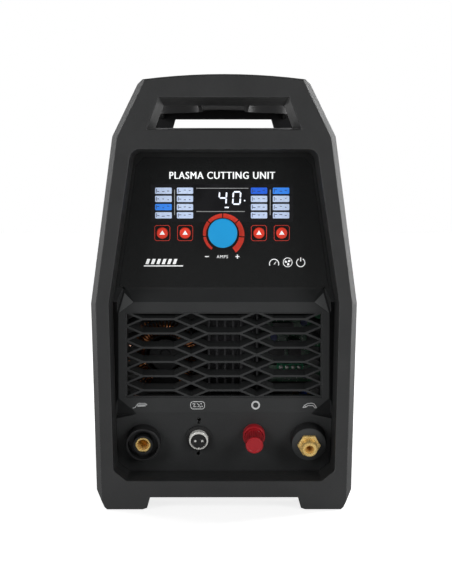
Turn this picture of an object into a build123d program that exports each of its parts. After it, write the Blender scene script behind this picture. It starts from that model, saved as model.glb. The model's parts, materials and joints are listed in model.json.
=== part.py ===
from build123d import *
import os
from math import atan2, cos, degrees, radians, sin, tan

# Plasma cutter with a built-in air compressor.
# Millimetres, +Z up. The front looks along -Y, and the feet stand on Z = 0.

os.makedirs("parts", exist_ok=True)

# ---------------------------------------------------------------- driving sizes
BODY_LENGTH = 430.0
FRONT = -BODY_LENGTH / 2
REAR = BODY_LENGTH / 2

# Outline of a bezel, right half, seen from the front: (x, z)
FOOT_HEIGHT = 10.0
FOOT_INNER = (61.3, FOOT_HEIGHT)
FOOT_TOE = (67.4, 0.0)
FOOT_HEEL = (97.0, 0.0)
SKIRT = (105.9, 16.0)
ELBOW = (110.1, 171.0)
SHOULDER = (92.1, 308.5)
CROWN = (71.2, 351.3)
CROWN_TOP = (67.0, 355.1)
TOP_HEIGHT = 359.4

BEZEL_DEPTH = 46.0
BEZEL_WALL = 3.2
EDGE_BAND = 4.3          # width of the bevel round the bezel, in the front face
EDGE_BAND_DEPTH = 5.5
TOP_BAND = 1.8
RIM_FILLET = 0.8

# Recess that holds the front panel: (x, z) at the front face
RECESS_TOP = (76.4, 297.8)
RECESS_ELBOW = (95.0, 170.6)
RECESS_SIDE_LOW = (91.6, 32.2)
RECESS_BOTTOM = (80.9, 23.8)
RECESS_TOP_RADIUS = 8.0
RECESS_DRAFT = 2.0
SLEEVE_WALL = 2.6

# Hand opening through each bezel: half widths and heights at its face
GRIP_OPENING_LOW = (63.5, 314.1)
GRIP_OPENING_HIGH = (53.5, 340.2)
GRIP_DRAFT = 4.5
REAR_OPENING_RISE = 8.6

# Steel case
SHEET = 1.2
COVER_INSET = 3.6
COVER_LAP = 8.0
DECK_HEIGHT = 307.5
BASE_TOP = 15.0

# Handle
PORTAL_PLATE = 3.0
GRIP_LOW = 345.6
GRIP_DROP = 1.8          # how far the grip's top stays below the bezels' top arc
GRIP_WALL = 3.4
GRIP_HALF_WIDTH = 24.0
GRIP_HALF_LENGTH = 46.0
GRIP_SHOULDER = 90.0
GRIP_SHOULDER_HALF_WIDTH = 66.0
GRIP_FILLET = 2.6

# Front panel: depths behind the front face
CONTROL_DEPTH = 37.0
FRAME_DEPTH = 28.5
LEDGE_TOP = 181.3
FRAME_TOP = 170.7
FRAME_LOW = 77.6
PANEL_BACK_DEPTH = 40.0
PANEL_WALL = 3.0
LOWER_TILT = 14.0
WINDOW_HALF_WIDTH = 83.0
WINDOW_LOW = 89.8
WINDOW_HIGH = 162.1
BAND_START = 89.0
PANEL_GAP = 0.15

# Front grille
MESH_COLUMNS = 3
MESH_ROWS = 6
MESH_BAR = 1.7
MESH_DEPTH = 14.0
MESH_RAKE = 15.0         # the slats rise towards the inside
MESH_SETBACK = 1.5
MESH_FLAT = 26.6
MESH_RIM = 1.2

# Controls: (x, z) on the control face
KNOB_AT = (-1.1, 228.7)
KNOB_RADIUS = 12.6
KNOB_LENGTH = 14.0
BUTTON_XS = (-52.1, -32.8, 29.6, 48.9)
BUTTON_Z = 228.7
BUTTON_RADIUS = 4.7
BUTTON_PROUD = 1.6
BUTTON_TRAVEL = 0.6
DISPLAY_CENTRE = (-1.5, 253.9)
DISPLAY_SIZE = (120.0, 32.0)
OVERLAY_SHEET = 0.4
BOARD_DEPTH = 49.0
BOARD_SHEET = 1.6

# Sockets on the sloping face below the grille: (x, distance below the face's top edge)
EARTH_AT = (-68.3, 25.6)
PILOT_AT = (-21.4, 23.4)
POST_AT = (25.4, 20.0)
TORCH_AT = (71.6, 24.4)


def section_at(y):
    """Plane across the machine at y, with its local axes along X and Z."""
    return Plane.XZ.offset(-y)


def front_at(depth):
    """Plane across the machine, a depth behind the front face."""
    return section_at(FRONT + depth)


def rear_at(depth):
    """Plane across the machine, a depth ahead of the rear face."""
    return section_at(REAR - depth)


# The sloping face leans back below the grille, so its outward normal points down.
SLOPE = Plane(
    origin=(0, FRONT + FRAME_DEPTH, FRAME_LOW),
    x_dir=(1, 0, 0),
    z_dir=(0, -cos(radians(LOWER_TILT)), -sin(radians(LOWER_TILT))),
)


def slope_plane(spot, height=0.0):
    """Plane on the sloping face, centred on one socket and raised by height."""
    centre = SLOPE.from_local_coords(Vector(spot[0], -spot[1], height))
    return Plane(origin=centre, x_dir=SLOPE.x_dir, z_dir=SLOPE.z_dir)


def export_piece(builder, name):
    """Label one finished piece and write it."""
    builder.part.label = name
    export_step(builder.part, f"parts/{name}.step")


# ---------------------------------------------------------------- shared outlines
def bezel_outline(plane):
    """Outer outline of a bezel, feet and top arc included."""
    with BuildSketch(plane) as sketch:
        with BuildLine():
            Polyline(
                (0, FOOT_HEIGHT),
                FOOT_INNER,
                (FOOT_INNER[0] + 2.5, 1.2),
                FOOT_TOE,
                FOOT_HEEL,
                (FOOT_HEEL[0] + 2.0, 1.7),
                SKIRT,
                ELBOW,
                SHOULDER,
                CROWN,
                CROWN_TOP,
            )
            ThreePointArc(
                CROWN_TOP,
                (CROWN_TOP[0] / 2, TOP_HEIGHT - (TOP_HEIGHT - CROWN_TOP[1]) / 4),
                (0, TOP_HEIGHT),
            )
            mirror(about=Plane.YZ)
        make_face()
        shoulders = sketch.vertices().filter_by(lambda v: abs(v.Y - SHOULDER[1]) < 1)
        fillet(shoulders, radius=7)
    return sketch.sketch


def side_x(z):
    """Half width of the case at a height below its shoulders."""
    if z > ELBOW[1]:
        return ELBOW[0] - (ELBOW[0] - SHOULDER[0]) * (z - ELBOW[1]) / (SHOULDER[1] - ELBOW[1])
    return ELBOW[0] - (ELBOW[0] - SKIRT[0]) * (ELBOW[1] - z) / (ELBOW[1] - SKIRT[1])


def side_run(inset, low, high):
    """Right-hand side of the case between two heights, moved in by inset."""
    elbows = [ELBOW[1]] if low < ELBOW[1] < high else []
    return [(side_x(z) - inset, z) for z in (low, *elbows, high)]


def case_section(plane, inset, low, high):
    """Closed section of the case between two heights, moved in by inset."""
    right = side_run(inset, low, high)
    left = [(-x, z) for x, z in reversed(right)]
    with BuildSketch(plane) as sketch:
        with BuildLine():
            Polyline(*right, *left, close=True)
        make_face()
    return sketch.sketch


def recess_outline(plane, grow=0.0):
    """Outline of the panel recess, grown outwards by grow."""
    right = [
        (RECESS_BOTTOM[0] + grow / 2, RECESS_BOTTOM[1] - grow),
        (RECESS_SIDE_LOW[0] + grow, RECESS_SIDE_LOW[1] - grow / 2),
        (RECESS_ELBOW[0] + grow, RECESS_ELBOW[1]),
        (RECESS_TOP[0] + grow, RECESS_TOP[1] + grow),
    ]
    left = [(-x, z) for x, z in reversed(right)]
    with BuildSketch(plane) as sketch:
        with BuildLine():
            Polyline(*right, *left, close=True)
        make_face()
        fillet(sketch.vertices().sort_by(Axis.Y)[-2:], radius=RECESS_TOP_RADIUS + grow)
        fillet(sketch.vertices().sort_by(Axis.Y)[:4], radius=4)
        elbows = sketch.vertices().filter_by(lambda v: abs(v.Y - RECESS_ELBOW[1]) < 1)
        fillet(elbows, radius=12)
    return sketch.sketch


def hand_opening(plane, grow=0.0, rise=0.0):
    """Trapezoid of a hand opening, grown outwards by grow and taller by rise."""
    low_x, low_z = GRIP_OPENING_LOW
    high_x, high_z = GRIP_OPENING_HIGH
    with BuildSketch(plane) as sketch:
        with BuildLine():
            Polyline(
                (-low_x - grow, low_z - grow),
                (low_x + grow, low_z - grow),
                (high_x + grow, high_z + rise + grow),
                (-high_x - grow, high_z + rise + grow),
                close=True,
            )
        make_face()
    return sketch.sketch


def bezel_hollow(plane, rise):
    """Space inside a bezel's skin, clear of its recess and hand-opening sleeves."""
    inset = BEZEL_WALL
    with BuildSketch(plane) as sketch:
        with BuildLine():
            Polyline(
                (0, FOOT_HEIGHT + inset),
                (SKIRT[0] - inset - 1.4, FOOT_HEIGHT + inset),
                (SKIRT[0] - inset, SKIRT[1]),
                (ELBOW[0] - inset, ELBOW[1]),
                (SHOULDER[0] - inset, SHOULDER[1]),
                (CROWN[0] - inset, CROWN[1]),
                (0, TOP_HEIGHT - inset - 2),
            )
            mirror(about=Plane.YZ)
        make_face()
        add(hand_opening(plane, grow=BEZEL_WALL, rise=rise), mode=Mode.SUBTRACT)
        add(recess_outline(plane, grow=SLEEVE_WALL), mode=Mode.SUBTRACT)
    return sketch.sketch


def make_bezel(sleeve_depth, rise):
    """Front bezel: skin, recess sleeve and hand-opening sleeve, open at the back."""
    with BuildPart() as bezel:
        extrude(bezel_outline(front_at(0)), amount=-BEZEL_DEPTH)
        face = bezel.faces().sort_by(Axis.Y)[0]
        outer = face.outer_wire().edges()
        sides = outer.filter_by(lambda e: abs(e.center().X) > 80 and e.center().Z > 20)
        chamfer(sides, length=EDGE_BAND, length2=EDGE_BAND_DEPTH, reference=face)
        extrude(bezel_hollow(front_at(BEZEL_WALL), rise), amount=-BEZEL_DEPTH, mode=Mode.SUBTRACT)
        extrude(
            recess_outline(front_at(sleeve_depth), grow=SLEEVE_WALL + 1),
            amount=-BEZEL_DEPTH,
            mode=Mode.SUBTRACT,
        )
        extrude(
            recess_outline(front_at(0)),
            amount=-BEZEL_DEPTH,
            taper=RECESS_DRAFT,
            mode=Mode.SUBTRACT,
        )
        extrude(
            hand_opening(front_at(0), rise=rise),
            amount=-BEZEL_DEPTH,
            taper=GRIP_DRAFT,
            mode=Mode.SUBTRACT,
        )
    return bezel


# ---------------------------------------------------------------- casing
# Front bezel: the moulding with the feet, the panel recess and the hand opening.
front_bezel = make_bezel(sleeve_depth=44.0, rise=0.0)
with BuildPart() as front_bezel_finished:
    add(front_bezel.part)
    front_face = front_bezel_finished.faces().sort_by(Axis.Y)[0]
    rims = front_face.inner_wires().edges()
    fillet(rims, radius=RIM_FILLET)
    top_edges = front_bezel_finished.faces().sort_by(Axis.Y)[0].outer_wire().edges()
    chamfer(top_edges.filter_by(lambda e: e.center().Z > 357), length=TOP_BAND)
export_piece(front_bezel_finished, "front_bezel")

# Rear bezel: the same moulding turned round, with a shallower recess.
REAR_PANEL_DEPTH = 24.0
rear_bezel = make_bezel(sleeve_depth=REAR_PANEL_DEPTH + 6.0, rise=REAR_OPENING_RISE)
with BuildPart() as rear_bezel_finished:
    add(rear_bezel.part)
    rear_face = rear_bezel_finished.faces().sort_by(Axis.Y)[0]
    fillet(rear_face.inner_wires().edges(), radius=RIM_FILLET)
    top_edges = rear_bezel_finished.faces().sort_by(Axis.Y)[0].outer_wire().edges()
    chamfer(top_edges.filter_by(lambda e: e.center().Z > 357), length=TOP_BAND)
    mirror(about=Plane.XZ, mode=Mode.REPLACE)
export_piece(rear_bezel_finished, "rear_bezel")

# Steel cover: one bent sheet down both sides and over the deck, louvred low on each side.
COVER_START = FRONT + BEZEL_DEPTH - COVER_LAP
COVER_LENGTH = BODY_LENGTH - 2 * (BEZEL_DEPTH - COVER_LAP)
COVER_LOW = 17.0
LOUVRE_SIZE = (30.0, 4.0)
LOUVRE_PITCH = 11.0
LOUVRE_ROWS = 9
LOUVRE_BANKS = ((FRONT + 82, 124.0), (FRONT + 124, 124.0), (REAR - 124, 124.0), (REAR - 82, 124.0))
UPPER_BANKS = ((FRONT + 82, 250.0), (REAR - 82, 250.0))
SCREW_ROWS = (FRONT + 66, -40.0, 40.0, REAR - 66)
SCREW_HEIGHT = 27.0
with BuildPart() as cover:
    cover_face = case_section(section_at(COVER_START), COVER_INSET, COVER_LOW, DECK_HEIGHT)
    extrude(cover_face, amount=-COVER_LENGTH)
    fillet(cover.edges().filter_by(Axis.Y).sort_by(Axis.Z)[-2:], radius=2.5 + SHEET)
    inner_inset = COVER_INSET + SHEET
    extrude(
        case_section(section_at(COVER_START), inner_inset, COVER_LOW - 1, DECK_HEIGHT - SHEET),
        amount=-COVER_LENGTH,
        mode=Mode.SUBTRACT,
    )
    deck_underside = cover.faces().filter_by(Axis.Z).sort_by(Axis.Z)[-2]
    fillet(deck_underside.edges().filter_by(Axis.Y), radius=2.5)
    for bank_y, bank_z in LOUVRE_BANKS + UPPER_BANKS:
        with BuildSketch(Plane.YZ):
            with Locations((bank_y, bank_z)):
                with GridLocations(1, LOUVRE_PITCH, 1, LOUVRE_ROWS if bank_z < 200 else 4):
                    SlotOverall(*LOUVRE_SIZE)
        extrude(amount=ELBOW[0], both=True, mode=Mode.SUBTRACT)
    with BuildSketch(Plane.YZ):
        with Locations(*[(y, SCREW_HEIGHT) for y in SCREW_ROWS]):
            Circle(2.2)
    extrude(amount=ELBOW[0], both=True, mode=Mode.SUBTRACT)
export_piece(cover, "cover")

# Base plate: folded steel tray whose side flanges take the cover's screws.
FLANGE_INSET = COVER_INSET + SHEET
FLANGE_HEIGHT = 37.0
with BuildPart() as base_plate:
    tray_low = BASE_TOP - SHEET
    tray_face = case_section(section_at(COVER_START), FLANGE_INSET, tray_low, FLANGE_HEIGHT)
    extrude(tray_face, amount=-COVER_LENGTH)
    extrude(
        case_section(section_at(COVER_START), FLANGE_INSET + SHEET, BASE_TOP, FLANGE_HEIGHT + 1),
        amount=-COVER_LENGTH,
        mode=Mode.SUBTRACT,
    )
    with BuildSketch(Plane.YZ):
        with Locations(*[(y, SCREW_HEIGHT) for y in SCREW_ROWS]):
            Circle(2.0)
    extrude(amount=ELBOW[0], both=True, mode=Mode.SUBTRACT)
    with BuildSketch(Plane.XY.offset(BASE_TOP)):
        with GridLocations(150, 240, 2, 2):
            SlotOverall(28, 5)
    extrude(amount=-2 * SHEET, mode=Mode.SUBTRACT)
export_piece(base_plate, "base_plate")

# Handle: two portal plates that close the bezels' backs, and a waisted bar between them,
# hollow underneath.
PLATE_START = FRONT + BEZEL_DEPTH
GRIP_START = PLATE_START + PORTAL_PLATE


def top_arc(drop):
    """Right-hand half of the bezels' top arc, lowered by drop."""
    return ThreePointArc(
        (CROWN_TOP[0], CROWN_TOP[1] - drop),
        (CROWN_TOP[0] / 2, TOP_HEIGHT - (TOP_HEIGHT - CROWN_TOP[1]) / 4 - drop),
        (0, TOP_HEIGHT - drop),
    )


def grip_section(plane, drop, low):
    """Section below the top arc, flat at low."""
    with BuildSketch(plane) as sketch:
        with BuildLine():
            Polyline((0, low), (CROWN_TOP[0], low), (CROWN_TOP[0], CROWN_TOP[1] - drop))
            top_arc(drop)
            mirror(about=Plane.YZ)
        make_face()
    return sketch.sketch


def grip_plan(height, inset):
    """Waisted plan of the grip, seen from above, moved in by inset."""
    waist = GRIP_HALF_WIDTH - inset
    shoulder = GRIP_SHOULDER_HALF_WIDTH - inset
    reach = (GRIP_SHOULDER - GRIP_HALF_LENGTH) / 2
    with BuildSketch(Plane.XY.offset(height)) as sketch:
        with BuildLine():
            Polyline((0, GRIP_START), (shoulder, GRIP_START), (shoulder, -GRIP_SHOULDER))
            Bezier(
                (shoulder, -GRIP_SHOULDER),
                (shoulder, -GRIP_SHOULDER + reach),
                (waist, -GRIP_HALF_LENGTH - reach),
                (waist, -GRIP_HALF_LENGTH),
            )
            Line((waist, -GRIP_HALF_LENGTH), (waist, 0))
            mirror(about=Plane.YZ)
            mirror(about=Plane.XZ)
        make_face()
    return sketch.sketch


with BuildPart() as grip_bar:
    extrude(grip_section(section_at(GRIP_START), GRIP_DROP, GRIP_LOW), amount=2 * GRIP_START)
    extrude(grip_plan(GRIP_LOW, 0), amount=TOP_HEIGHT - GRIP_LOW, mode=Mode.INTERSECT)
    top_face = grip_bar.faces().sort_by(Axis.Z)[-1]
    fillet(top_face.edges().filter_by(lambda e: abs(e.center().X) > 10), radius=GRIP_FILLET)

with BuildPart() as grip_hollow:
    extrude(
        grip_section(section_at(GRIP_START), GRIP_DROP + GRIP_WALL, GRIP_LOW - 1),
        amount=2 * GRIP_START,
    )
    extrude(grip_plan(GRIP_LOW - 1, GRIP_WALL), amount=TOP_HEIGHT - GRIP_LOW, mode=Mode.INTERSECT)

with BuildPart() as handle:
    add(grip_bar.part)
    add(grip_hollow.part, mode=Mode.SUBTRACT)
    for start, rise in ((PLATE_START, 0.0), (-PLATE_START - PORTAL_PLATE, REAR_OPENING_RISE)):
        with BuildSketch(section_at(start)):
            with BuildLine():
                right = side_run(0.5, DECK_HEIGHT + 0.5, SHOULDER[1])
                Polyline(
                    (0, DECK_HEIGHT + 0.5),
                    *right,
                    (CROWN[0] - 0.8, CROWN[1] - 0.5),
                    (CROWN_TOP[0], CROWN_TOP[1] - 1.0),
                )
                top_arc(1.0)
                mirror(about=Plane.YZ)
            make_face()
            add(hand_opening(section_at(start), grow=-3.0, rise=rise), mode=Mode.SUBTRACT)
        extrude(amount=-PORTAL_PLATE)
export_piece(handle, "handle")

# ---------------------------------------------------------------- front panel
tilt_run = tan(radians(LOWER_TILT))
slope_depth = FRAME_DEPTH + tilt_run * (FRAME_LOW - 20)
wall_run = PANEL_WALL / cos(radians(LOWER_TILT))
PANEL_PROFILE = [
    (CONTROL_DEPTH, 300),
    (CONTROL_DEPTH, LEDGE_TOP),
    (FRAME_DEPTH, FRAME_TOP),
    (FRAME_DEPTH, FRAME_LOW),
    (slope_depth, 20),
    (slope_depth + wall_run, 20),
    (FRAME_DEPTH + wall_run + tilt_run * 8, FRAME_LOW - 8),
    (PANEL_BACK_DEPTH, FRAME_LOW + 4),
    (PANEL_BACK_DEPTH, 300),
]
# Facets on the four corners of the grille frame: three points each, (x, depth, z).
FACETS = (
    ((84.3, 36.5, 178.5), (76.0, FRAME_DEPTH, FRAME_TOP), (BAND_START, FRAME_DEPTH, 161.0)),
    ((BAND_START - 1, FRAME_DEPTH, 88.5), (75.0, FRAME_DEPTH, FRAME_LOW), (88.5, 34.5, 76.5)),
)
with BuildPart() as front_panel:
    with BuildSketch(Plane.YZ):
        with BuildLine():
            Polyline(*[(FRONT + depth, z) for depth, z in PANEL_PROFILE], close=True)
        make_face()
    extrude(amount=ELBOW[0], both=True)
    extrude(
        recess_outline(front_at(0), grow=-PANEL_GAP),
        amount=-BEZEL_DEPTH - 10,
        taper=RECESS_DRAFT,
        mode=Mode.INTERSECT,
    )
    # sloping bands down both sides of the grille frame
    for side in (-1, 1):
        with BuildSketch(Plane.XY.offset(FRAME_LOW)):
            with BuildLine():
                Polyline(
                    (side * BAND_START, FRONT + FRAME_DEPTH),
                    (side * (BAND_START + 8), FRONT + FRAME_DEPTH),
                    (side * (BAND_START + 8), FRONT + FRAME_DEPTH + 9),
                    close=True,
                )
            make_face()
        extrude(amount=FRAME_TOP - FRAME_LOW, mode=Mode.SUBTRACT)
    # corner facets
    for side in (-1, 1):
        for facet in FACETS:
            tips = [Vector(side * x, FRONT + depth, z) for x, depth, z in facet]
            middle = (tips[0] + tips[1] + tips[2]) / 3
            normal = (tips[1] - tips[0]).cross(tips[2] - tips[0]).normalized()
            outward = normal if normal.Y < 0 else normal * -1
            facet_plane = Plane(origin=middle, z_dir=outward)
            corners = [facet_plane.to_local_coords(middle + (tip - middle) * 1.5) for tip in tips]
            with BuildSketch(facet_plane):
                with BuildLine():
                    Polyline(*[(c.X, c.Y) for c in corners], close=True)
                make_face()
            extrude(amount=8, mode=Mode.SUBTRACT)
    # grille window
    with BuildSketch(front_at(0)):
        with Locations((0, (WINDOW_LOW + WINDOW_HIGH) / 2)):
            Rectangle(2 * WINDOW_HALF_WIDTH, WINDOW_HIGH - WINDOW_LOW)
    extrude(amount=-BEZEL_DEPTH, mode=Mode.SUBTRACT)
    # holes for the encoder shaft, the buttons and the display
    with BuildSketch(front_at(CONTROL_DEPTH - 1)):
        with Locations(KNOB_AT):
            Circle(3.6)
        with Locations(*[(x, BUTTON_Z) for x in BUTTON_XS]):
            Circle(BUTTON_RADIUS + 0.3)
        with Locations(DISPLAY_CENTRE):
            RectangleRounded(DISPLAY_SIZE[0] - 6, DISPLAY_SIZE[1] - 6, 1)
    extrude(amount=-6, mode=Mode.SUBTRACT)
    # holes for the four sockets, and the small screw holes above and below the pilot socket
    for spot, radius in ((EARTH_AT, 11.0), (PILOT_AT, 8.05), (POST_AT, 3.1), (TORCH_AT, 8.0)):
        with BuildSketch(slope_plane(spot, 6)):
            Circle(radius)
        extrude(amount=-24, mode=Mode.SUBTRACT)
    with BuildSketch(slope_plane(PILOT_AT, 6)):
        with Locations((0.4, 16.6), (-0.4, -14.6)):
            Circle(1.7)
        with Locations((0.2, 13.8), (0.4, -11.9)):
            Circle(1.2)
    extrude(amount=-24, mode=Mode.SUBTRACT)
export_piece(front_panel, "front_panel")

# Front grille: three columns of flattened honeycomb bars inside a thin rim.
MESH_FRONT = FRAME_DEPTH + MESH_SETBACK
WINDOW_HEIGHT = WINDOW_HIGH - WINDOW_LOW
MESH_PITCH_X = 2 * WINDOW_HALF_WIDTH / MESH_COLUMNS
MESH_PITCH_Z = WINDOW_HEIGHT / MESH_ROWS
NODE_RUN = (MESH_PITCH_X - MESH_FLAT) / 2
STRUT_ANGLE = degrees(atan2(MESH_PITCH_Z / 2, NODE_RUN))
STRUT_LENGTH = NODE_RUN / cos(radians(STRUT_ANGLE)) + 0.8
with BuildPart() as front_grille:
    with BuildSketch(front_at(MESH_FRONT)):
        with Locations((0, (WINDOW_LOW + WINDOW_HIGH) / 2)):
            with GridLocations(MESH_PITCH_X, MESH_PITCH_Z, MESH_COLUMNS, MESH_ROWS):
                Rectangle(MESH_FLAT + 0.4, MESH_BAR)
                for reach in (-1, 1):
                    strut_x = reach * (MESH_FLAT + NODE_RUN) / 2
                    with Locations((strut_x, MESH_PITCH_Z / 4)):
                        Rectangle(STRUT_LENGTH, MESH_BAR, rotation=reach * STRUT_ANGLE)
                    with Locations((strut_x, -MESH_PITCH_Z / 4)):
                        Rectangle(STRUT_LENGTH, MESH_BAR, rotation=-reach * STRUT_ANGLE)
    extrude(amount=MESH_DEPTH, dir=(0, cos(radians(MESH_RAKE)), sin(radians(MESH_RAKE))))
    with BuildSketch(front_at(MESH_FRONT)):
        with Locations((0, (WINDOW_LOW + WINDOW_HIGH) / 2)):
            Rectangle(2 * WINDOW_HALF_WIDTH, WINDOW_HEIGHT)
    extrude(amount=-MESH_DEPTH, mode=Mode.INTERSECT)
    with BuildSketch(front_at(MESH_FRONT)):
        with Locations((0, (WINDOW_LOW + WINDOW_HIGH) / 2)):
            Rectangle(2 * WINDOW_HALF_WIDTH, WINDOW_HEIGHT)
            Rectangle(
                2 * (WINDOW_HALF_WIDTH - MESH_RIM),
                WINDOW_HEIGHT - 2 * MESH_RIM,
                mode=Mode.SUBTRACT,
            )
    extrude(amount=-(PANEL_BACK_DEPTH + 1.5 - MESH_FRONT))
    with BuildSketch(front_at(PANEL_BACK_DEPTH)):
        with Locations((0, (WINDOW_LOW + WINDOW_HIGH) / 2)):
            Rectangle(2 * (WINDOW_HALF_WIDTH + 3), WINDOW_HEIGHT + 6)
            Rectangle(
                2 * (WINDOW_HALF_WIDTH - MESH_RIM),
                WINDOW_HEIGHT - 2 * MESH_RIM,
                mode=Mode.SUBTRACT,
            )
    extrude(amount=-1.5)
export_piece(front_grille, "front_grille")

# ---------------------------------------------------------------- controls
# Overlay: a thin printed sheet over the control face.
with BuildPart() as control_overlay:
    with BuildSketch(front_at(CONTROL_DEPTH)):
        with BuildLine():
            Polyline(
                (-88.5, LEDGE_TOP + 2),
                (88.5, LEDGE_TOP + 2),
                (74.0, 286.0),
                (68.0, 292.5),
                (-68.0, 292.5),
                (-74.0, 286.0),
                close=True,
            )
        make_face()
        with Locations(KNOB_AT):
            Circle(4.2, mode=Mode.SUBTRACT)
        with Locations(*[(x, BUTTON_Z) for x in BUTTON_XS]):
            Circle(BUTTON_RADIUS + 0.35, mode=Mode.SUBTRACT)
        with Locations(DISPLAY_CENTRE):
            RectangleRounded(DISPLAY_SIZE[0] + 0.2, DISPLAY_SIZE[1] + 0.2, 1.6, mode=Mode.SUBTRACT)
    extrude(amount=OVERLAY_SHEET)
export_piece(control_overlay, "control_overlay")

# Display window: a dark clear sheet flush with the overlay.
with BuildPart() as display_window:
    with BuildSketch(front_at(CONTROL_DEPTH)):
        with Locations(DISPLAY_CENTRE):
            RectangleRounded(*DISPLAY_SIZE, 1.5)
    extrude(amount=OVERLAY_SHEET)
export_piece(display_window, "display_window")

# Display module behind the window, standing on the control board.
with BuildPart() as display_module:
    with BuildSketch(front_at(PANEL_BACK_DEPTH + 0.2)):
        with Locations(DISPLAY_CENTRE):
            Rectangle(DISPLAY_SIZE[0] - 2, DISPLAY_SIZE[1] - 2)
    extrude(amount=-(BOARD_DEPTH - PANEL_BACK_DEPTH - 0.2))
export_piece(display_module, "display_module")

# Control board: circuit board on four posts, with a soldered push switch behind each button.
BUTTON_STEM_BACK = 45.2
BOARD_CENTRE = (-1.5, 240.0)
BOARD_SIZE = (128.0, 74.0)
with BuildPart() as control_board:
    with BuildSketch(front_at(BOARD_DEPTH)):
        with Locations(BOARD_CENTRE):
            RectangleRounded(*BOARD_SIZE, 2)
    extrude(amount=-BOARD_SHEET)
    with BuildSketch(front_at(PANEL_BACK_DEPTH)):
        with Locations(BOARD_CENTRE):
            with GridLocations(BOARD_SIZE[0] - 7, BOARD_SIZE[1] - 7, 2, 2):
                Circle(2.6)
    extrude(amount=-(BOARD_DEPTH - PANEL_BACK_DEPTH))
    with BuildSketch(front_at(BUTTON_STEM_BACK + BUTTON_TRAVEL + 0.2)):
        with Locations(*[(x, BUTTON_Z) for x in BUTTON_XS]):
            Rectangle(6, 6)
    extrude(amount=-(BOARD_DEPTH - BUTTON_STEM_BACK - BUTTON_TRAVEL - 0.2))
export_piece(control_board, "control_board")

# Buttons: a domed round cap with a collar behind the panel that stops it falling out.
for index, button_x in enumerate(BUTTON_XS):
    with BuildPart() as button:
        with BuildSketch(front_at(CONTROL_DEPTH - OVERLAY_SHEET - BUTTON_PROUD)):
            with Locations((button_x, BUTTON_Z)):
                Circle(BUTTON_RADIUS)
        extrude(amount=-(BUTTON_PROUD + OVERLAY_SHEET + PANEL_BACK_DEPTH + 0.3 - CONTROL_DEPTH))
        fillet(button.faces().sort_by(Axis.Y)[0].edges(), radius=0.6)
        with BuildSketch(front_at(PANEL_BACK_DEPTH + 0.3)):
            with Locations((button_x, BUTTON_Z)):
                Circle(BUTTON_RADIUS + 1.4)
        extrude(amount=-1.5)
        with BuildSketch(front_at(PANEL_BACK_DEPTH + 1.8)):
            with Locations((button_x, BUTTON_Z)):
                Circle(2)
        extrude(amount=-(BUTTON_STEM_BACK - PANEL_BACK_DEPTH - 1.8))
    export_piece(button, f"mode_button_{index + 1}")

# Encoder: square body on the board and a threaded bush through the panel.
SHAFT_RADIUS = 3.0
ENCODER_FRONT = PANEL_BACK_DEPTH + 0.2
with BuildPart() as encoder_body:
    with BuildSketch(front_at(ENCODER_FRONT)):
        with Locations(KNOB_AT):
            Rectangle(12, 12)
    extrude(amount=-(BOARD_DEPTH - ENCODER_FRONT))
    with BuildSketch(front_at(PANEL_BACK_DEPTH - 3.0)):
        with Locations(KNOB_AT):
            Circle(3.5)
    extrude(amount=-3.2)
    with BuildSketch(front_at(PANEL_BACK_DEPTH - 4)):
        with Locations(KNOB_AT):
            Circle(SHAFT_RADIUS + 0.05)
    extrude(amount=-9, mode=Mode.SUBTRACT)
export_piece(encoder_body, "encoder_body")

# Knob, with the encoder's shaft pressed into it as one turning piece.
KNOB_BACK = CONTROL_DEPTH - OVERLAY_SHEET - 0.6
with BuildPart() as encoder_knob:
    with BuildSketch(front_at(KNOB_BACK)):
        with Locations(KNOB_AT):
            Circle(KNOB_RADIUS)
    extrude(amount=KNOB_LENGTH - 1, taper=1)
    fillet(encoder_knob.faces().sort_by(Axis.Y)[0].edges(), radius=1.0)
    with BuildSketch(front_at(KNOB_BACK)):
        with Locations(KNOB_AT):
            Circle(SHAFT_RADIUS)
    extrude(amount=-(PANEL_BACK_DEPTH + 4.6 - KNOB_BACK))
export_piece(encoder_knob, "encoder_knob")

# ---------------------------------------------------------------- sockets on the sloping face
# Earth socket: insulating collar with a deep ring recess, and brass contact.
EARTH_COLLAR_RADIUS = 14.7
EARTH_PROUD = 11.5
EARTH_BORE = 4.5
with BuildPart() as earth_socket_collar:
    with BuildSketch(slope_plane(EARTH_AT)):
        Circle(EARTH_COLLAR_RADIUS)
        Circle(6.6, mode=Mode.SUBTRACT)
    extrude(amount=EARTH_PROUD)
    fillet(earth_socket_collar.faces().sort_by(Axis.Y)[0].outer_wire().edges(), radius=0.8)
    with BuildSketch(slope_plane(EARTH_AT, EARTH_PROUD)):
        Circle(EARTH_COLLAR_RADIUS - 1.9)
        Circle(8.2, mode=Mode.SUBTRACT)
    extrude(amount=-8.5, mode=Mode.SUBTRACT)
    with BuildSketch(slope_plane(EARTH_AT)):
        Circle(10.8)
        Circle(6.6, mode=Mode.SUBTRACT)
    extrude(amount=-12)
export_piece(earth_socket_collar, "earth_socket_collar")

with BuildPart() as earth_socket_contact:
    with BuildSketch(slope_plane(EARTH_AT, EARTH_PROUD - 1)):
        Circle(6.6)
    extrude(amount=-38)
    with BuildSketch(slope_plane(EARTH_AT, EARTH_PROUD - 1)):
        Circle(EARTH_BORE)
    extrude(amount=-22, mode=Mode.SUBTRACT)
export_piece(earth_socket_contact, "earth_socket_contact")

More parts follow.
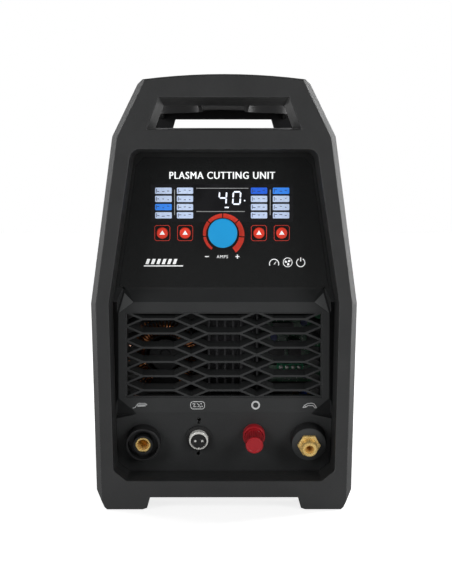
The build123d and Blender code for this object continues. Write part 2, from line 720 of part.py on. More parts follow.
# Pilot socket: metal shell, black insert, two pins and a dark ring nut.
PILOT_SHELL_RADIUS = 8.0
PILOT_PROUD = 7.0
PILOT_RING_HEIGHT = 1.6
with BuildPart() as pilot_socket_shell:
    with BuildSketch(slope_plane(PILOT_AT, PILOT_PROUD)):
        Circle(PILOT_SHELL_RADIUS)
        Circle(6.9, mode=Mode.SUBTRACT)
    extrude(amount=PILOT_RING_HEIGHT - PILOT_PROUD)
    with BuildSketch(slope_plane(PILOT_AT, PILOT_RING_HEIGHT)):
        Circle(PILOT_SHELL_RADIUS - 0.15)
        Circle(6.9, mode=Mode.SUBTRACT)
    extrude(amount=-PILOT_RING_HEIGHT - 15)
    fillet(pilot_socket_shell.faces().sort_by(Axis.Y)[0].outer_wire().edges(), radius=0.4)
    with BuildSketch(slope_plane(PILOT_AT, PILOT_PROUD)):
        with Locations((0, -6.9)):
            Circle(0.8)
        Circle(6.9, mode=Mode.INTERSECT)
    extrude(amount=-6)
export_piece(pilot_socket_shell, "pilot_socket_shell")

PIN_SPREAD = 3.4
with BuildPart() as pilot_socket_insert:
    with BuildSketch(slope_plane(PILOT_AT, PILOT_PROUD - 3)):
        Circle(6.9)
        with Locations((0, -6.9)):
            Circle(0.85, mode=Mode.SUBTRACT)
        with Locations((-PIN_SPREAD, 0), (PIN_SPREAD, 0)):
            Circle(0.9, mode=Mode.SUBTRACT)
    extrude(amount=-12)
export_piece(pilot_socket_insert, "pilot_socket_insert")

with BuildPart() as pilot_socket_pins:
    with BuildSketch(slope_plane(PILOT_AT, PILOT_PROUD - 0.6)):
        with Locations((-PIN_SPREAD, 0), (PIN_SPREAD, 0)):
            Circle(0.9)
    extrude(amount=-22)
export_piece(pilot_socket_pins, "pilot_socket_pins")

with BuildPart() as pilot_socket_ring:
    with BuildSketch(slope_plane(PILOT_AT)):
        Circle(11.0)
        Circle(PILOT_SHELL_RADIUS, mode=Mode.SUBTRACT)
    extrude(amount=PILOT_RING_HEIGHT)
    with BuildSketch(slope_plane(PILOT_AT, -PANEL_WALL)):
        RegularPolygon(11, 6)
        Circle(PILOT_SHELL_RADIUS, mode=Mode.SUBTRACT)
    extrude(amount=-2.5)
export_piece(pilot_socket_ring, "pilot_socket_ring")

# Pilot-arc post: fixed red base, threaded brass stud, washer, turning cap and rear nut.
POST_BASE_RADIUS = 9.4
POST_BASE_PROUD = 7.0
POST_TRAVEL = 3.0
POST_STUD_RADIUS = 3.0
POST_CAP_START = POST_BASE_PROUD + 1.0
POST_CAP_LENGTH = 18.0
with BuildPart() as pilot_post_base:
    with BuildSketch(slope_plane(POST_AT)):
        Circle(POST_BASE_RADIUS)
        Circle(POST_STUD_RADIUS, mode=Mode.SUBTRACT)
    extrude(amount=POST_BASE_PROUD)
    fillet(pilot_post_base.faces().sort_by(Axis.Y)[0].outer_wire().edges(), radius=0.6)
export_piece(pilot_post_base, "pilot_post_base")

with BuildPart() as pilot_post_stud:
    with BuildSketch(slope_plane(POST_AT, POST_CAP_START + 12)):
        Circle(POST_STUD_RADIUS)
    extrude(amount=-42)
export_piece(pilot_post_stud, "pilot_post_stud")

with BuildPart() as pilot_post_nut:
    with BuildSketch(slope_plane(POST_AT, -PANEL_WALL)):
        RegularPolygon(6, 6)
        Circle(POST_STUD_RADIUS, mode=Mode.SUBTRACT)
    extrude(amount=-5)
export_piece(pilot_post_nut, "pilot_post_nut")

with BuildPart() as pilot_post_washer:
    with BuildSketch(slope_plane(POST_AT, POST_BASE_PROUD + 0.1)):
        Circle(6.5)
        Circle(POST_STUD_RADIUS + 0.08, mode=Mode.SUBTRACT)
    extrude(amount=0.8)
export_piece(pilot_post_washer, "pilot_post_washer")

with BuildPart() as pilot_post_cap:
    with BuildSketch(slope_plane(POST_AT, POST_CAP_START)):
        Circle(7.6)
    extrude(amount=POST_CAP_LENGTH, taper=0.8)
    fillet(pilot_post_cap.faces().sort_by(Axis.Y)[0].edges(), radius=0.7)
    with BuildSketch(slope_plane(POST_AT, POST_CAP_START)):
        Circle(POST_STUD_RADIUS + 0.08)
    extrude(amount=12 + POST_TRAVEL + 0.2, mode=Mode.SUBTRACT)
export_piece(pilot_post_cap, "pilot_post_cap")

# Torch connector: grey insulating flange, brass body with a hexagon and a G1/4 spigot.
TORCH_FLANGE_RADIUS = 15.3
TORCH_FLANGE_PROUD = 13.0
TORCH_SPIGOT_RADIUS = 6.58
TORCH_HEX_FLATS = 17.0
TORCH_HEX_LENGTH = 3.0
TORCH_SPIGOT_LENGTH = 8.5
TORCH_SHANK_RADIUS = 6.5
with BuildPart() as torch_flange:
    with BuildSketch(slope_plane(TORCH_AT)):
        Circle(TORCH_FLANGE_RADIUS)
        Circle(TORCH_SHANK_RADIUS, mode=Mode.SUBTRACT)
    extrude(amount=TORCH_FLANGE_PROUD)
    fillet(torch_flange.faces().sort_by(Axis.Y)[0].outer_wire().edges(), radius=0.8)
    with BuildSketch(slope_plane(TORCH_AT)):
        Circle(8.0)
        Circle(TORCH_SHANK_RADIUS, mode=Mode.SUBTRACT)
    extrude(amount=-8)
export_piece(torch_flange, "torch_flange")

hex_radius = TORCH_HEX_FLATS / 2 / cos(radians(30))
spigot_end = TORCH_FLANGE_PROUD + TORCH_HEX_LENGTH + TORCH_SPIGOT_LENGTH
with BuildPart() as torch_connector:
    with BuildSketch(slope_plane(TORCH_AT, TORCH_FLANGE_PROUD)):
        RegularPolygon(hex_radius, 6)
    extrude(amount=TORCH_HEX_LENGTH)
    with BuildSketch(slope_plane(TORCH_AT, TORCH_FLANGE_PROUD + TORCH_HEX_LENGTH)):
        Circle(TORCH_SPIGOT_RADIUS)
    extrude(amount=TORCH_SPIGOT_LENGTH)
    chamfer(torch_connector.faces().sort_by(Axis.Y)[0].edges(), length=0.8)
    with BuildSketch(slope_plane(TORCH_AT, TORCH_FLANGE_PROUD)):
        Circle(TORCH_SHANK_RADIUS)
    extrude(amount=-TORCH_FLANGE_PROUD - 26)
    with BuildSketch(slope_plane(TORCH_AT, spigot_end)):
        Circle(2.5)
    extrude(amount=-spigot_end - 26, mode=Mode.SUBTRACT)
export_piece(torch_connector, "torch_connector")

# The two large sockets share one size of rear nut.
with BuildPart() as socket_nuts:
    with BuildSketch(slope_plane(EARTH_AT, -12)):
        RegularPolygon(11, 6)
        Circle(6.6, mode=Mode.SUBTRACT)
    extrude(amount=-5)
    with BuildSketch(slope_plane(TORCH_AT, -8)):
        RegularPolygon(11, 6)
        Circle(TORCH_SHANK_RADIUS, mode=Mode.SUBTRACT)
    extrude(amount=-5)
export_piece(socket_nuts, "socket_nuts")

# ---------------------------------------------------------------- rear panel
REAR_PANEL_SHEET = 2.0
FAN_CENTRE = (0.0, 222.0)
FAN_SIZE = 120.0
FAN_THICKNESS = 25.4
FAN_BORE = 57.5
SWITCH_CENTRE = (-48.0, 118.0)
SWITCH_SIZE = (28.0, 22.0)
GLAND_CENTRE = (44.0, 118.0)
GLAND_THREAD_RADIUS = 10.0
GLAND_BORE = 5.5
INTAKE_CENTRE = (-46.0, 62.0)
INTAKE_RADIUS = 17.0
panel_y = REAR - REAR_PANEL_DEPTH
with BuildPart() as rear_panel:
    extrude(
        recess_outline(rear_at(0), grow=-PANEL_GAP),
        amount=REAR_PANEL_DEPTH + REAR_PANEL_SHEET,
        taper=RECESS_DRAFT,
    )
    split(bisect_by=Plane.XZ.offset(-panel_y), keep=Keep.TOP)
    with BuildSketch(section_at(panel_y)):
        with Locations(FAN_CENTRE):
            with PolarLocations(46, 16):
                SlotOverall(18, 5)
            with PolarLocations(27, 9):
                SlotOverall(14, 5)
            with GridLocations(105, 105, 2, 2):
                Circle(2.2)
        with Locations(SWITCH_CENTRE):
            Rectangle(*SWITCH_SIZE)
        with Locations(GLAND_CENTRE):
            Circle(GLAND_THREAD_RADIUS)
        with Locations(INTAKE_CENTRE):
            Circle(11.0)
    extrude(amount=REAR_PANEL_SHEET, mode=Mode.SUBTRACT)
export_piece(rear_panel, "rear_panel")

# Fan: square frame, bladed rotor on the frame's hub, and a wire guard outside the panel.
fan_back = panel_y - REAR_PANEL_SHEET
with BuildPart() as fan_frame:
    with BuildSketch(section_at(fan_back)):
        with Locations(FAN_CENTRE):
            RectangleRounded(FAN_SIZE, FAN_SIZE, 6)
            Circle(FAN_BORE, mode=Mode.SUBTRACT)
            with GridLocations(105, 105, 2, 2):
                Circle(2.2, mode=Mode.SUBTRACT)
    extrude(amount=FAN_THICKNESS)
    with BuildSketch(section_at(fan_back - FAN_THICKNESS + 4)):
        with Locations(FAN_CENTRE):
            Circle(20)
            with PolarLocations(39, 4):
                Rectangle(40, 5)
    extrude(amount=4)
    with BuildSketch(section_at(fan_back - FAN_THICKNESS + 4)):
        with Locations(FAN_CENTRE):
            Circle(3)
    extrude(amount=-15)
export_piece(fan_frame, "fan_frame")

FAN_BLADES = 7
HUB_RADIUS = 21.0
BLADE_TIP = 56.3
with BuildPart() as fan_rotor:
    with BuildSketch(section_at(fan_back - 1.5)):
        with Locations(FAN_CENTRE):
            Circle(HUB_RADIUS)
    extrude(amount=19)
    with BuildSketch(section_at(fan_back - 4)):
        with Locations(FAN_CENTRE):
            Circle(3.05)
    extrude(amount=20, mode=Mode.SUBTRACT)
    for blade in range(FAN_BLADES):
        turn = 360 / FAN_BLADES * blade
        blade_plane = Plane(
            origin=(FAN_CENTRE[0], fan_back - 11, FAN_CENTRE[1]),
            x_dir=(cos(radians(turn)), 0, sin(radians(turn))),
            z_dir=(-sin(radians(turn)), 0.0, cos(radians(turn))),
        )
        with BuildSketch(blade_plane.offset(-9)):
            with Locations(((HUB_RADIUS + BLADE_TIP) / 2 - 0.5, 0)):
                Rectangle(BLADE_TIP - HUB_RADIUS + 1, 1.6, rotation=0)
        with BuildSketch(blade_plane.offset(9)):
            with Locations(((HUB_RADIUS + BLADE_TIP) / 2 - 3, 0)):
                Rectangle(BLADE_TIP - HUB_RADIUS - 4, 1.6, rotation=0)
        loft()
export_piece(fan_rotor, "fan_rotor")

GUARD_WIRE = 2.2
GUARD_RINGS = (14, 24, 34, 44, 54)
LUG_REACH = 52.5 * 2 ** 0.5
LUG_RADIUS = 4.5
with BuildPart() as fan_guard:
    with BuildSketch(section_at(panel_y)):
        with Locations(FAN_CENTRE):
            with PolarLocations(LUG_REACH, 4, start_angle=45):
                Circle(LUG_RADIUS)
            with PolarLocations((LUG_REACH + GUARD_RINGS[0]) / 2, 4, start_angle=45):
                Rectangle(LUG_REACH - GUARD_RINGS[0], GUARD_WIRE)
            with PolarLocations(LUG_REACH, 4, start_angle=45):
                Circle(2.2, mode=Mode.SUBTRACT)
    extrude(amount=-GUARD_WIRE)
    with BuildSketch(section_at(panel_y + GUARD_WIRE)):
        with Locations(FAN_CENTRE):
            for ring in reversed(GUARD_RINGS):
                Circle(ring + GUARD_WIRE / 2)
                Circle(ring - GUARD_WIRE / 2, mode=Mode.SUBTRACT)
    extrude(amount=-GUARD_WIRE)
export_piece(fan_guard, "fan_guard")

# Mains switch: snap-in housing, and a rocker that turns on its pivot.
SWITCH_PIVOT = Vector(panel_y - 0.5, SWITCH_CENTRE[1])
ROCKER_WIDTH = 21.2
ROCKER_PIN_RADIUS = 1.3
ROCKER_PIN_REACH = 1.0
ROCKER_REST_ANGLE = 11.0
ROCKER_PROFILE = [
    (-5.0, -2.5),
    (0.8, -9.2),
    (4.6, -9.2),
    (3.2, 0.0),
    (4.6, 9.2),
    (0.8, 9.2),
    (-5.0, 2.5),
]
with BuildPart() as mains_switch:
    with BuildSketch(section_at(panel_y)):
        with Locations(SWITCH_CENTRE):
            RectangleRounded(SWITCH_SIZE[0] + 4, SWITCH_SIZE[1] + 10, 1.5)
    extrude(amount=-2.2)
    with BuildSketch(section_at(panel_y)):
        with Locations(SWITCH_CENTRE):
            Rectangle(*SWITCH_SIZE)
    extrude(amount=24)
    with BuildSketch(section_at(panel_y + 2.2)):
        with Locations(SWITCH_CENTRE):
            Rectangle(ROCKER_WIDTH + 0.8, 20.6)
    extrude(amount=18, mode=Mode.SUBTRACT)
    with BuildSketch(Plane.YZ.offset(SWITCH_CENTRE[0])):
        with Locations(SWITCH_PIVOT):
            Circle(ROCKER_PIN_RADIUS + 0.06)
    extrude(amount=ROCKER_WIDTH / 2 + ROCKER_PIN_REACH + 0.2, both=True, mode=Mode.SUBTRACT)
export_piece(mains_switch, "mains_switch")

with BuildPart() as mains_rocker:
    with BuildSketch(Plane.YZ.offset(SWITCH_CENTRE[0] - ROCKER_WIDTH / 2)):
        with BuildLine():
            profile = [Vector(*point).rotate(Axis.Z, ROCKER_REST_ANGLE) for point in ROCKER_PROFILE]
            Polyline(*[SWITCH_PIVOT + point for point in profile], close=True)
        make_face()
    extrude(amount=ROCKER_WIDTH)
    with BuildSketch(Plane.YZ.offset(SWITCH_CENTRE[0])):
        with Locations(SWITCH_PIVOT):
            Circle(ROCKER_PIN_RADIUS)
    extrude(amount=ROCKER_WIDTH / 2 + ROCKER_PIN_REACH, both=True)
export_piece(mains_rocker, "mains_rocker")

# Cable gland: threaded body with a hexagon and domed nut outside.
with BuildPart() as cable_gland:
    with BuildSketch(section_at(panel_y)):
        with Locations(GLAND_CENTRE):
            RegularPolygon(14, 6)
    extrude(amount=-6)
    with BuildSketch(section_at(panel_y + 6)):
        with Locations(GLAND_CENTRE):
            Circle(11.8)
    extrude(amount=-14, taper=6)
    with BuildSketch(section_at(panel_y)):
        with Locations(GLAND_CENTRE):
            Circle(GLAND_THREAD_RADIUS)
    extrude(amount=14)
    with BuildSketch(section_at(panel_y + 22)):
        with Locations(GLAND_CENTRE):
            Circle(GLAND_BORE)
    extrude(amount=40, mode=Mode.SUBTRACT)
export_piece(cable_gland, "cable_gland")

with BuildPart() as gland_nut:
    with BuildSketch(section_at(fan_back)):
        with Locations(GLAND_CENTRE):
            RegularPolygon(13, 6)
            Circle(GLAND_THREAD_RADIUS + 0.05, mode=Mode.SUBTRACT)
    extrude(amount=4)
export_piece(gland_nut, "gland_nut")

# Air intake: slotted cap with a stem through the panel, and the filter element inside it.
with BuildPart() as air_intake:
    with BuildSketch(section_at(panel_y)):
        with Locations(INTAKE_CENTRE):
            Circle(INTAKE_RADIUS)
    extrude(amount=-10)
    fillet(air_intake.faces().sort_by(Axis.Y)[-1].edges(), radius=2)
    with BuildSketch(section_at(panel_y)):
        with Locations(INTAKE_CENTRE):
            Circle(11.0)
    extrude(amount=16)
    with BuildSketch(section_at(panel_y + 7.5)):
        with Locations(INTAKE_CENTRE):
            Circle(9.5)
    extrude(amount=30, mode=Mode.SUBTRACT)
    with BuildSketch(section_at(panel_y + 12)):
        with Locations(INTAKE_CENTRE):
            with GridLocations(1, 4.5, 1, 4):
                SlotOverall(15, 2)
    extrude(amount=6, mode=Mode.SUBTRACT)
export_piece(air_intake, "air_intake")

with BuildPart() as intake_filter:
    with BuildSketch(section_at(panel_y + 6.5)):
        with Locations(INTAKE_CENTRE):
            Circle(9.5)
    extrude(amount=12)
export_piece(intake_filter, "intake_filter")

# ---------------------------------------------------------------- inside: frame
# Inner frame: a bent sheet with a front partition, a shelf for the electronics and two rear legs.
SHELF_TOP = 172.0
FRAME_SHEET = 1.5
PARTITION_Y = -98.0
SHELF_END = 150.0
SHELF_HALF_WIDTH = 93.0
HOSE_RADIUS = 4.0
with BuildPart() as inner_frame:
    with BuildSketch(Plane.YZ):
        with BuildLine():
            Polyline(
                (PARTITION_Y, BASE_TOP),
                (PARTITION_Y, SHELF_TOP),
                (SHELF_END, SHELF_TOP),
                (SHELF_END, SHELF_TOP - 12),
                (SHELF_END - FRAME_SHEET, SHELF_TOP - 12),
                (SHELF_END - FRAME_SHEET, SHELF_TOP - FRAME_SHEET),
                (PARTITION_Y + FRAME_SHEET, SHELF_TOP - FRAME_SHEET),
                (PARTITION_Y + FRAME_SHEET, BASE_TOP),
                close=True,
            )
        make_face()
    extrude(amount=SHELF_HALF_WIDTH, both=True)
    for side in (-1, 1):
        with BuildSketch(Plane.YZ.offset(side * SHELF_HALF_WIDTH)):
            with Locations((SHELF_END - 15, (BASE_TOP + SHELF_TOP) / 2)):
                Rectangle(30, SHELF_TOP - BASE_TOP)
        extrude(amount=-side * FRAME_SHEET)
    with BuildSketch(section_at(PARTITION_Y)):
        with Locations((0, 52)):
            RectangleRounded(70, 46, 4)
        with Locations((TORCH_AT[0], 82)):
            Circle(HOSE_RADIUS + 6)
    extrude(amount=-2 * FRAME_SHEET, mode=Mode.SUBTRACT)
export_piece(inner_frame, "inner_frame")

# ---------------------------------------------------------------- inside: air compressor
COMPRESSOR_AXIS_Z = 68.0
MOUNT_HEIGHT = 12.0
BRACKET_SHEET = 2.0
BRACKET_TOP = BASE_TOP + MOUNT_HEIGHT + BRACKET_SHEET
CRANKCASE_FRONT = -5.0
CRANKCASE_BACK = 45.0
MOTOR_BACK = 140.0
MOTOR_RADIUS = 35.0
CRANK_RADIUS = 5.0
CRANK_PIN_RADIUS = 2.5
STROKE = 2 * CRANK_RADIUS
PISTON_RADIUS = 15.0
CYLINDER_LOW = 98.0
CYLINDER_HIGH = 134.0
PISTON_Y = 21.0
with BuildPart() as compressor_mounts:
    with BuildSketch(Plane.XY.offset(BASE_TOP)):
        with Locations((0, 62)):
            with GridLocations(64, 120, 2, 2):
                Circle(8)
    extrude(amount=MOUNT_HEIGHT)
export_piece(compressor_mounts, "compressor_mounts")

with BuildPart() as compressor_bracket:
    with BuildSketch(Plane.XY.offset(BASE_TOP + MOUNT_HEIGHT)):
        with Locations((0, 65)):
            RectangleRounded(88, 150, 5)
    extrude(amount=BRACKET_SHEET)
export_piece(compressor_bracket, "compressor_bracket")

with BuildPart() as compressor_motor:
    with BuildSketch(section_at(CRANKCASE_BACK)):
        with Locations((0, COMPRESSOR_AXIS_Z)):
            Circle(MOTOR_RADIUS)
    extrude(amount=-(MOTOR_BACK - CRANKCASE_BACK))
    with BuildSketch(Plane.XY.offset(BRACKET_TOP)):
        with Locations((0, (CRANKCASE_BACK + MOTOR_BACK) / 2)):
            Rectangle(40, 60)
    extrude(amount=12)
    with BuildSketch(section_at(CRANKCASE_BACK)):
        with Locations((0, COMPRESSOR_AXIS_Z)):
            Circle(5.05)
    extrude(amount=-22, mode=Mode.SUBTRACT)
export_piece(compressor_motor, "compressor_motor")

with BuildPart() as compressor_crankcase:
    with BuildSketch(Plane.XY.offset(BRACKET_TOP)):
        with Locations((0, (CRANKCASE_FRONT + CRANKCASE_BACK) / 2)):
            RectangleRounded(56, CRANKCASE_BACK - CRANKCASE_FRONT, 5)
    extrude(amount=CYLINDER_LOW - BRACKET_TOP)
    with BuildSketch(Plane.XY.offset(CYLINDER_LOW - 4)):
        with Locations((0, (CRANKCASE_FRONT + CRANKCASE_BACK) / 2)):
            Rectangle(46, CRANKCASE_BACK - CRANKCASE_FRONT - 10)
    extrude(amount=-52, mode=Mode.SUBTRACT)
    with BuildSketch(Plane.XY.offset(CYLINDER_LOW)):
        with Locations((0, PISTON_Y)):
            Circle(PISTON_RADIUS + 0.4)
    extrude(amount=-5, mode=Mode.SUBTRACT)
    with BuildSketch(section_at(CRANKCASE_BACK)):
        with Locations((0, COMPRESSOR_AXIS_Z)):
            Circle(5.05)
    extrude(amount=6, mode=Mode.SUBTRACT)
export_piece(compressor_crankcase, "compressor_crankcase")

# Finned cylinder with its head, closed at the top, and an outlet boss on the right.
HEAD_TOP = 158.0
OUTLET_Z = 146.0
with BuildPart() as compressor_head:
    with BuildSketch(Plane.XY.offset(CYLINDER_LOW)):
        with Locations((0, PISTON_Y)):
            Circle(19)
    extrude(amount=CYLINDER_HIGH - CYLINDER_LOW)
    for fin in range(5):
        with BuildSketch(Plane.XY.offset(CYLINDER_LOW + 3 + 7 * fin)):
            with Locations((0, PISTON_Y)):
                RectangleRounded(50, 48, 6)
        extrude(amount=2.5)
    with BuildSketch(Plane.XY.offset(CYLINDER_HIGH)):
        with Locations((0, PISTON_Y)):
            RectangleRounded(50, 48, 6)
    extrude(amount=HEAD_TOP - CYLINDER_HIGH)
    with BuildSketch(Plane.YZ.offset(25)):
        with Locations((PISTON_Y, OUTLET_Z)):
            Circle(6)
    extrude(amount=6)
    with BuildSketch(Plane.XY.offset(CYLINDER_LOW)):
        with Locations((0, PISTON_Y)):
            Circle(PISTON_RADIUS + 0.08)
    extrude(amount=CYLINDER_HIGH - CYLINDER_LOW, mode=Mode.SUBTRACT)
export_piece(compressor_head, "compressor_head")

# Crank: shaft in the motor, counterweight disc, and the offset pin at its lowest point.
with BuildPart() as compressor_crank:
    with BuildSketch(section_at(62)):
        with Locations((0, COMPRESSOR_AXIS_Z)):
            Circle(5)
    extrude(amount=62 - 30)
    with BuildSketch(section_at(38)):
        with Locations((0, COMPRESSOR_AXIS_Z)):
            Circle(14)
    extrude(amount=8)
    with BuildSketch(section_at(30)):
        with Locations((0, COMPRESSOR_AXIS_Z - CRANK_RADIUS)):
            Circle(CRANK_PIN_RADIUS)
    extrude(amount=15)
export_piece(compressor_crank, "compressor_crank")

# Piston and rod in one: the rod's eye is long enough for the pin at every height.
EYE_CLEARANCE = 0.6
eye_reach = CRANK_RADIUS + CRANK_PIN_RADIUS + EYE_CLEARANCE
EYE_RIM = 4.0
EYE_LENGTH = 2 * eye_reach + STROKE
eye_z = COMPRESSOR_AXIS_Z - STROKE / 2
CROWN_LOW = 101.0
with BuildPart() as compressor_piston:
    with BuildSketch(section_at(PISTON_Y + 5)):
        with Locations((0, eye_z)):
            RectangleRounded(2 * (eye_reach + EYE_RIM), EYE_LENGTH + 2 * EYE_RIM, 6)
            RectangleRounded(2 * eye_reach, EYE_LENGTH, 3, mode=Mode.SUBTRACT)
    extrude(amount=10)
    with BuildSketch(Plane.XY.offset(eye_z + EYE_LENGTH / 2 + EYE_RIM - 1)):
        with Locations((0, PISTON_Y)):
            Rectangle(8, 8)
    extrude(amount=CROWN_LOW - (eye_z + EYE_LENGTH / 2 + EYE_RIM - 1))
    with BuildSketch(Plane.XY.offset(CROWN_LOW)):
        with Locations((0, PISTON_Y)):
            Circle(PISTON_RADIUS)
    extrude(amount=9)
export_piece(compressor_piston, "compressor_piston")

# Solenoid valve: brass block with a coil on top, and the plunger that lifts inside it.
VALVE_CENTRE = (72.0, -45.0)
VALVE_LOW = 74.0
PLUNGER_TRAVEL = 2.0
with BuildPart() as solenoid_valve:
    with BuildSketch(Plane.XY.offset(VALVE_LOW)):
        with Locations(VALVE_CENTRE):
            Rectangle(26, 34)
    extrude(amount=18)
    with BuildSketch(Plane.XY.offset(VALVE_LOW + 18)):
        with Locations(VALVE_CENTRE):
            RectangleRounded(28, 30, 3)
    extrude(amount=34)
    with BuildSketch(Plane.XY.offset(VALVE_LOW + 10)):
        with Locations(VALVE_CENTRE):
            Circle(5.06)
    extrude(amount=34, mode=Mode.SUBTRACT)
    with BuildSketch(section_at(PARTITION_Y + FRAME_SHEET)):
        with Locations((VALVE_CENTRE[0] + 11, VALVE_LOW + 7)):
            Rectangle(4, 14)
    extrude(amount=-(VALVE_CENTRE[1] - 17 - PARTITION_Y - FRAME_SHEET))
export_piece(solenoid_valve, "solenoid_valve")

with BuildPart() as solenoid_plunger:
    with BuildSketch(Plane.XY.offset(VALVE_LOW + 10)):
        with Locations(VALVE_CENTRE):
            Circle(5)
    extrude(amount=24)
export_piece(solenoid_plunger, "solenoid_plunger")

# Air hoses: compressor to valve, and valve to torch connector.
torch_tail = slope_plane(TORCH_AT, -26).origin
tail_axis = SLOPE.z_dir * -1
valve_back = (VALVE_CENTRE[0], VALVE_CENTRE[1] + 17, VALVE_LOW + 9)
valve_front = (VALVE_CENTRE[0], VALVE_CENTRE[1] - 17, VALVE_LOW + 9)
HOSE_ROUTES = (
    (
        [(31, PISTON_Y, OUTLET_Z), (56, PISTON_Y, OUTLET_Z), (VALVE_CENTRE[0], PISTON_Y - 6, 115),
         (VALVE_CENTRE[0], PISTON_Y - 24, VALVE_LOW + 9), valve_back],
        [14, 14, 14],
    ),
    (
        [torch_tail, torch_tail + tail_axis * 26, (VALVE_CENTRE[0], -90, VALVE_LOW + 9), valve_front],
        [30, 30],
    ),
)
with BuildPart() as air_hoses:
    for points, radii in HOSE_ROUTES:
        with BuildLine() as route:
            FilletPolyline(*points, radius=radii)
        start = Vector(points[0])
        heading = Vector(points[1]) - start
        with BuildSketch(Plane(origin=start, z_dir=heading)):
            Circle(HOSE_RADIUS)
        sweep(path=route.line)
export_piece(air_hoses, "air_hoses")

# ---------------------------------------------------------------- inside: electronics
# Output inductor: wound ring in front of the partition, bolted through its middle.
INDUCTOR_CENTRE = (-52.0, 120.0)
INDUCTOR_RING = 24.0
INDUCTOR_WIRE = 11.0
with BuildPart() as output_inductor:
    with BuildSketch(Plane.XY.offset(INDUCTOR_CENTRE[1])):
        with Locations((INDUCTOR_CENTRE[0] + INDUCTOR_RING, PARTITION_Y - INDUCTOR_WIRE)):
            Circle(INDUCTOR_WIRE)
    revolve(axis=Axis((INDUCTOR_CENTRE[0], 0, INDUCTOR_CENTRE[1]), (0, 1, 0)))
    with BuildSketch(section_at(PARTITION_Y)):
        with Locations(INDUCTOR_CENTRE):
            Circle(INDUCTOR_RING - INDUCTOR_WIRE + 2)
    extrude(amount=2 * INDUCTOR_WIRE - 4)
export_piece(output_inductor, "output_inductor")

# Auxiliary board with its terminal strip, on posts in front of the partition.
with BuildPart() as terminal_board:
    with BuildSketch(section_at(PARTITION_Y - 16)):
        with Locations((62, 128)):
            Rectangle(56, 64)
    extrude(amount=1.6)
    with BuildSketch(section_at(PARTITION_Y)):
        with Locations((62, 128)):
            with GridLocations(48, 56, 2, 2):
                Circle(3)
    extrude(amount=16)
    with BuildSketch(section_at(PARTITION_Y - 17.6)):
        with Locations((62, 106)):
            Rectangle(44, 12)
    extrude(amount=12)
export_piece(terminal_board, "terminal_board")


def finned_block(centre, size, base, fins, along):
    """Heatsink outline: a base with fins along one side, centred on a point."""
    width, height = size
    with BuildSketch(along) as sketch:
        with Locations(centre):
            with Locations((0, -height / 2 + base / 2)):
                Rectangle(width, base)
            with GridLocations((width - 2) / (fins - 1), 1, fins, 1):
                Rectangle(2, height)
    return sketch.sketch


# Heatsinks: two long ones on the power board and one for the rectifier on the partition.
POWER_BOARD_TOP = 185.6
HEATSINK_X = 60.0
HEATSINK_HEIGHT = 64.0
with BuildPart() as heatsinks:
    for side in (-1, 1):
        turned = Plane(
            origin=(side * HEATSINK_X, -100, POWER_BOARD_TOP + HEATSINK_HEIGHT / 2),
            x_dir=(0, 0, 1),
            z_dir=(0, 1, 0),
        )
        if side > 0:
            turned = Plane(origin=turned.origin, x_dir=(0, 0, -1), z_dir=(0, 1, 0))
        extrude(finned_block((0, 0), (HEATSINK_HEIGHT, 36), 6, 8, turned), amount=200)
    upright = Plane(origin=(8, PARTITION_Y - 20, 84), x_dir=(-1, 0, 0), z_dir=(0, 0, 1))
    extrude(finned_block((0, 0), (44, 40), 6, 7, upright), amount=80)
export_piece(heatsinks, "heatsinks")

# Power board on posts over the shelf.
with BuildPart() as power_board:
    with BuildSketch(Plane.XY.offset(POWER_BOARD_TOP - 1.6)):
        with Locations((0, 5)):
            Rectangle(168, 262)
    extrude(amount=1.6)
    with BuildSketch(Plane.XY.offset(SHELF_TOP)):
        with Locations((0, 30)):
            with GridLocations(152, 190, 2, 2):
                Circle(4)
    extrude(amount=POWER_BOARD_TOP - 1.6 - SHELF_TOP)
export_piece(power_board, "power_board")

# Power transistors: four flat packages on the inner face of each long heatsink.
with BuildPart() as power_transistors:
    for side in (-1, 1):
        with BuildSketch(Plane.YZ.offset(side * (HEATSINK_X - 18))):
            with Locations((0, POWER_BOARD_TOP + 22)):
                with GridLocations(44, 1, 4, 1):
                    Rectangle(16, 21)
        extrude(amount=-side * 5)
export_piece(power_transistors, "power_transistors")

# Smoothing capacitors, upright on the power board.
with BuildPart() as capacitors:
    with BuildSketch(Plane.XY.offset(POWER_BOARD_TOP)):
        with Locations((-17.5, -92), (17.5, -92), (0, -60)):
            Circle(16)
    extrude(amount=48)
    fillet(capacitors.faces().sort_by(Axis.Z)[-3:].edges(), radius=1.5)
export_piece(capacitors, "capacitors")

# Main transformer: ferrite core pair round a wound former.
with BuildPart() as transformer:
    with BuildSketch(Plane.XY.offset(POWER_BOARD_TOP)):
        with Locations((0, 20)):
            Rectangle(60, 34)
    extrude(amount=56)
    with BuildSketch(Plane.XY.offset(POWER_BOARD_TOP + 10)):
        with Locations((0, 20)):
            RectangleRounded(44, 58, 10)
    extrude(amount=36)
export_piece(transformer, "transformer")

# ---------------------------------------------------------------- fasteners
# Pan-head screws: along both sides of the cover and round the rear panel.
HEAD_RADIUS = 4.0
HEAD_HEIGHT = 2.4
side_screw_x = side_x(SCREW_HEIGHT) - COVER_INSET + 0.15
REAR_SCREWS = ((0, 32), (-86, 100), (86, 100), (-88, 180), (88, 180), (-70, 288), (70, 288))
with BuildPart() as case_screws:
    for side in (-1, 1):
        with BuildSketch(Plane.YZ.offset(side * side_screw_x)):
            with Locations(*[(y, SCREW_HEIGHT) for y in SCREW_ROWS]):
                Circle(HEAD_RADIUS)
        extrude(amount=side * HEAD_HEIGHT)
    with BuildSketch(section_at(panel_y)):
        with Locations(*REAR_SCREWS):
            Circle(HEAD_RADIUS)
    extrude(amount=-HEAD_HEIGHT)
export_piece(case_screws, "case_screws")
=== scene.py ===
import json
import random
from math import cos, radians, sin, tau

import bmesh
import bpy
from mathutils import Matrix, Vector


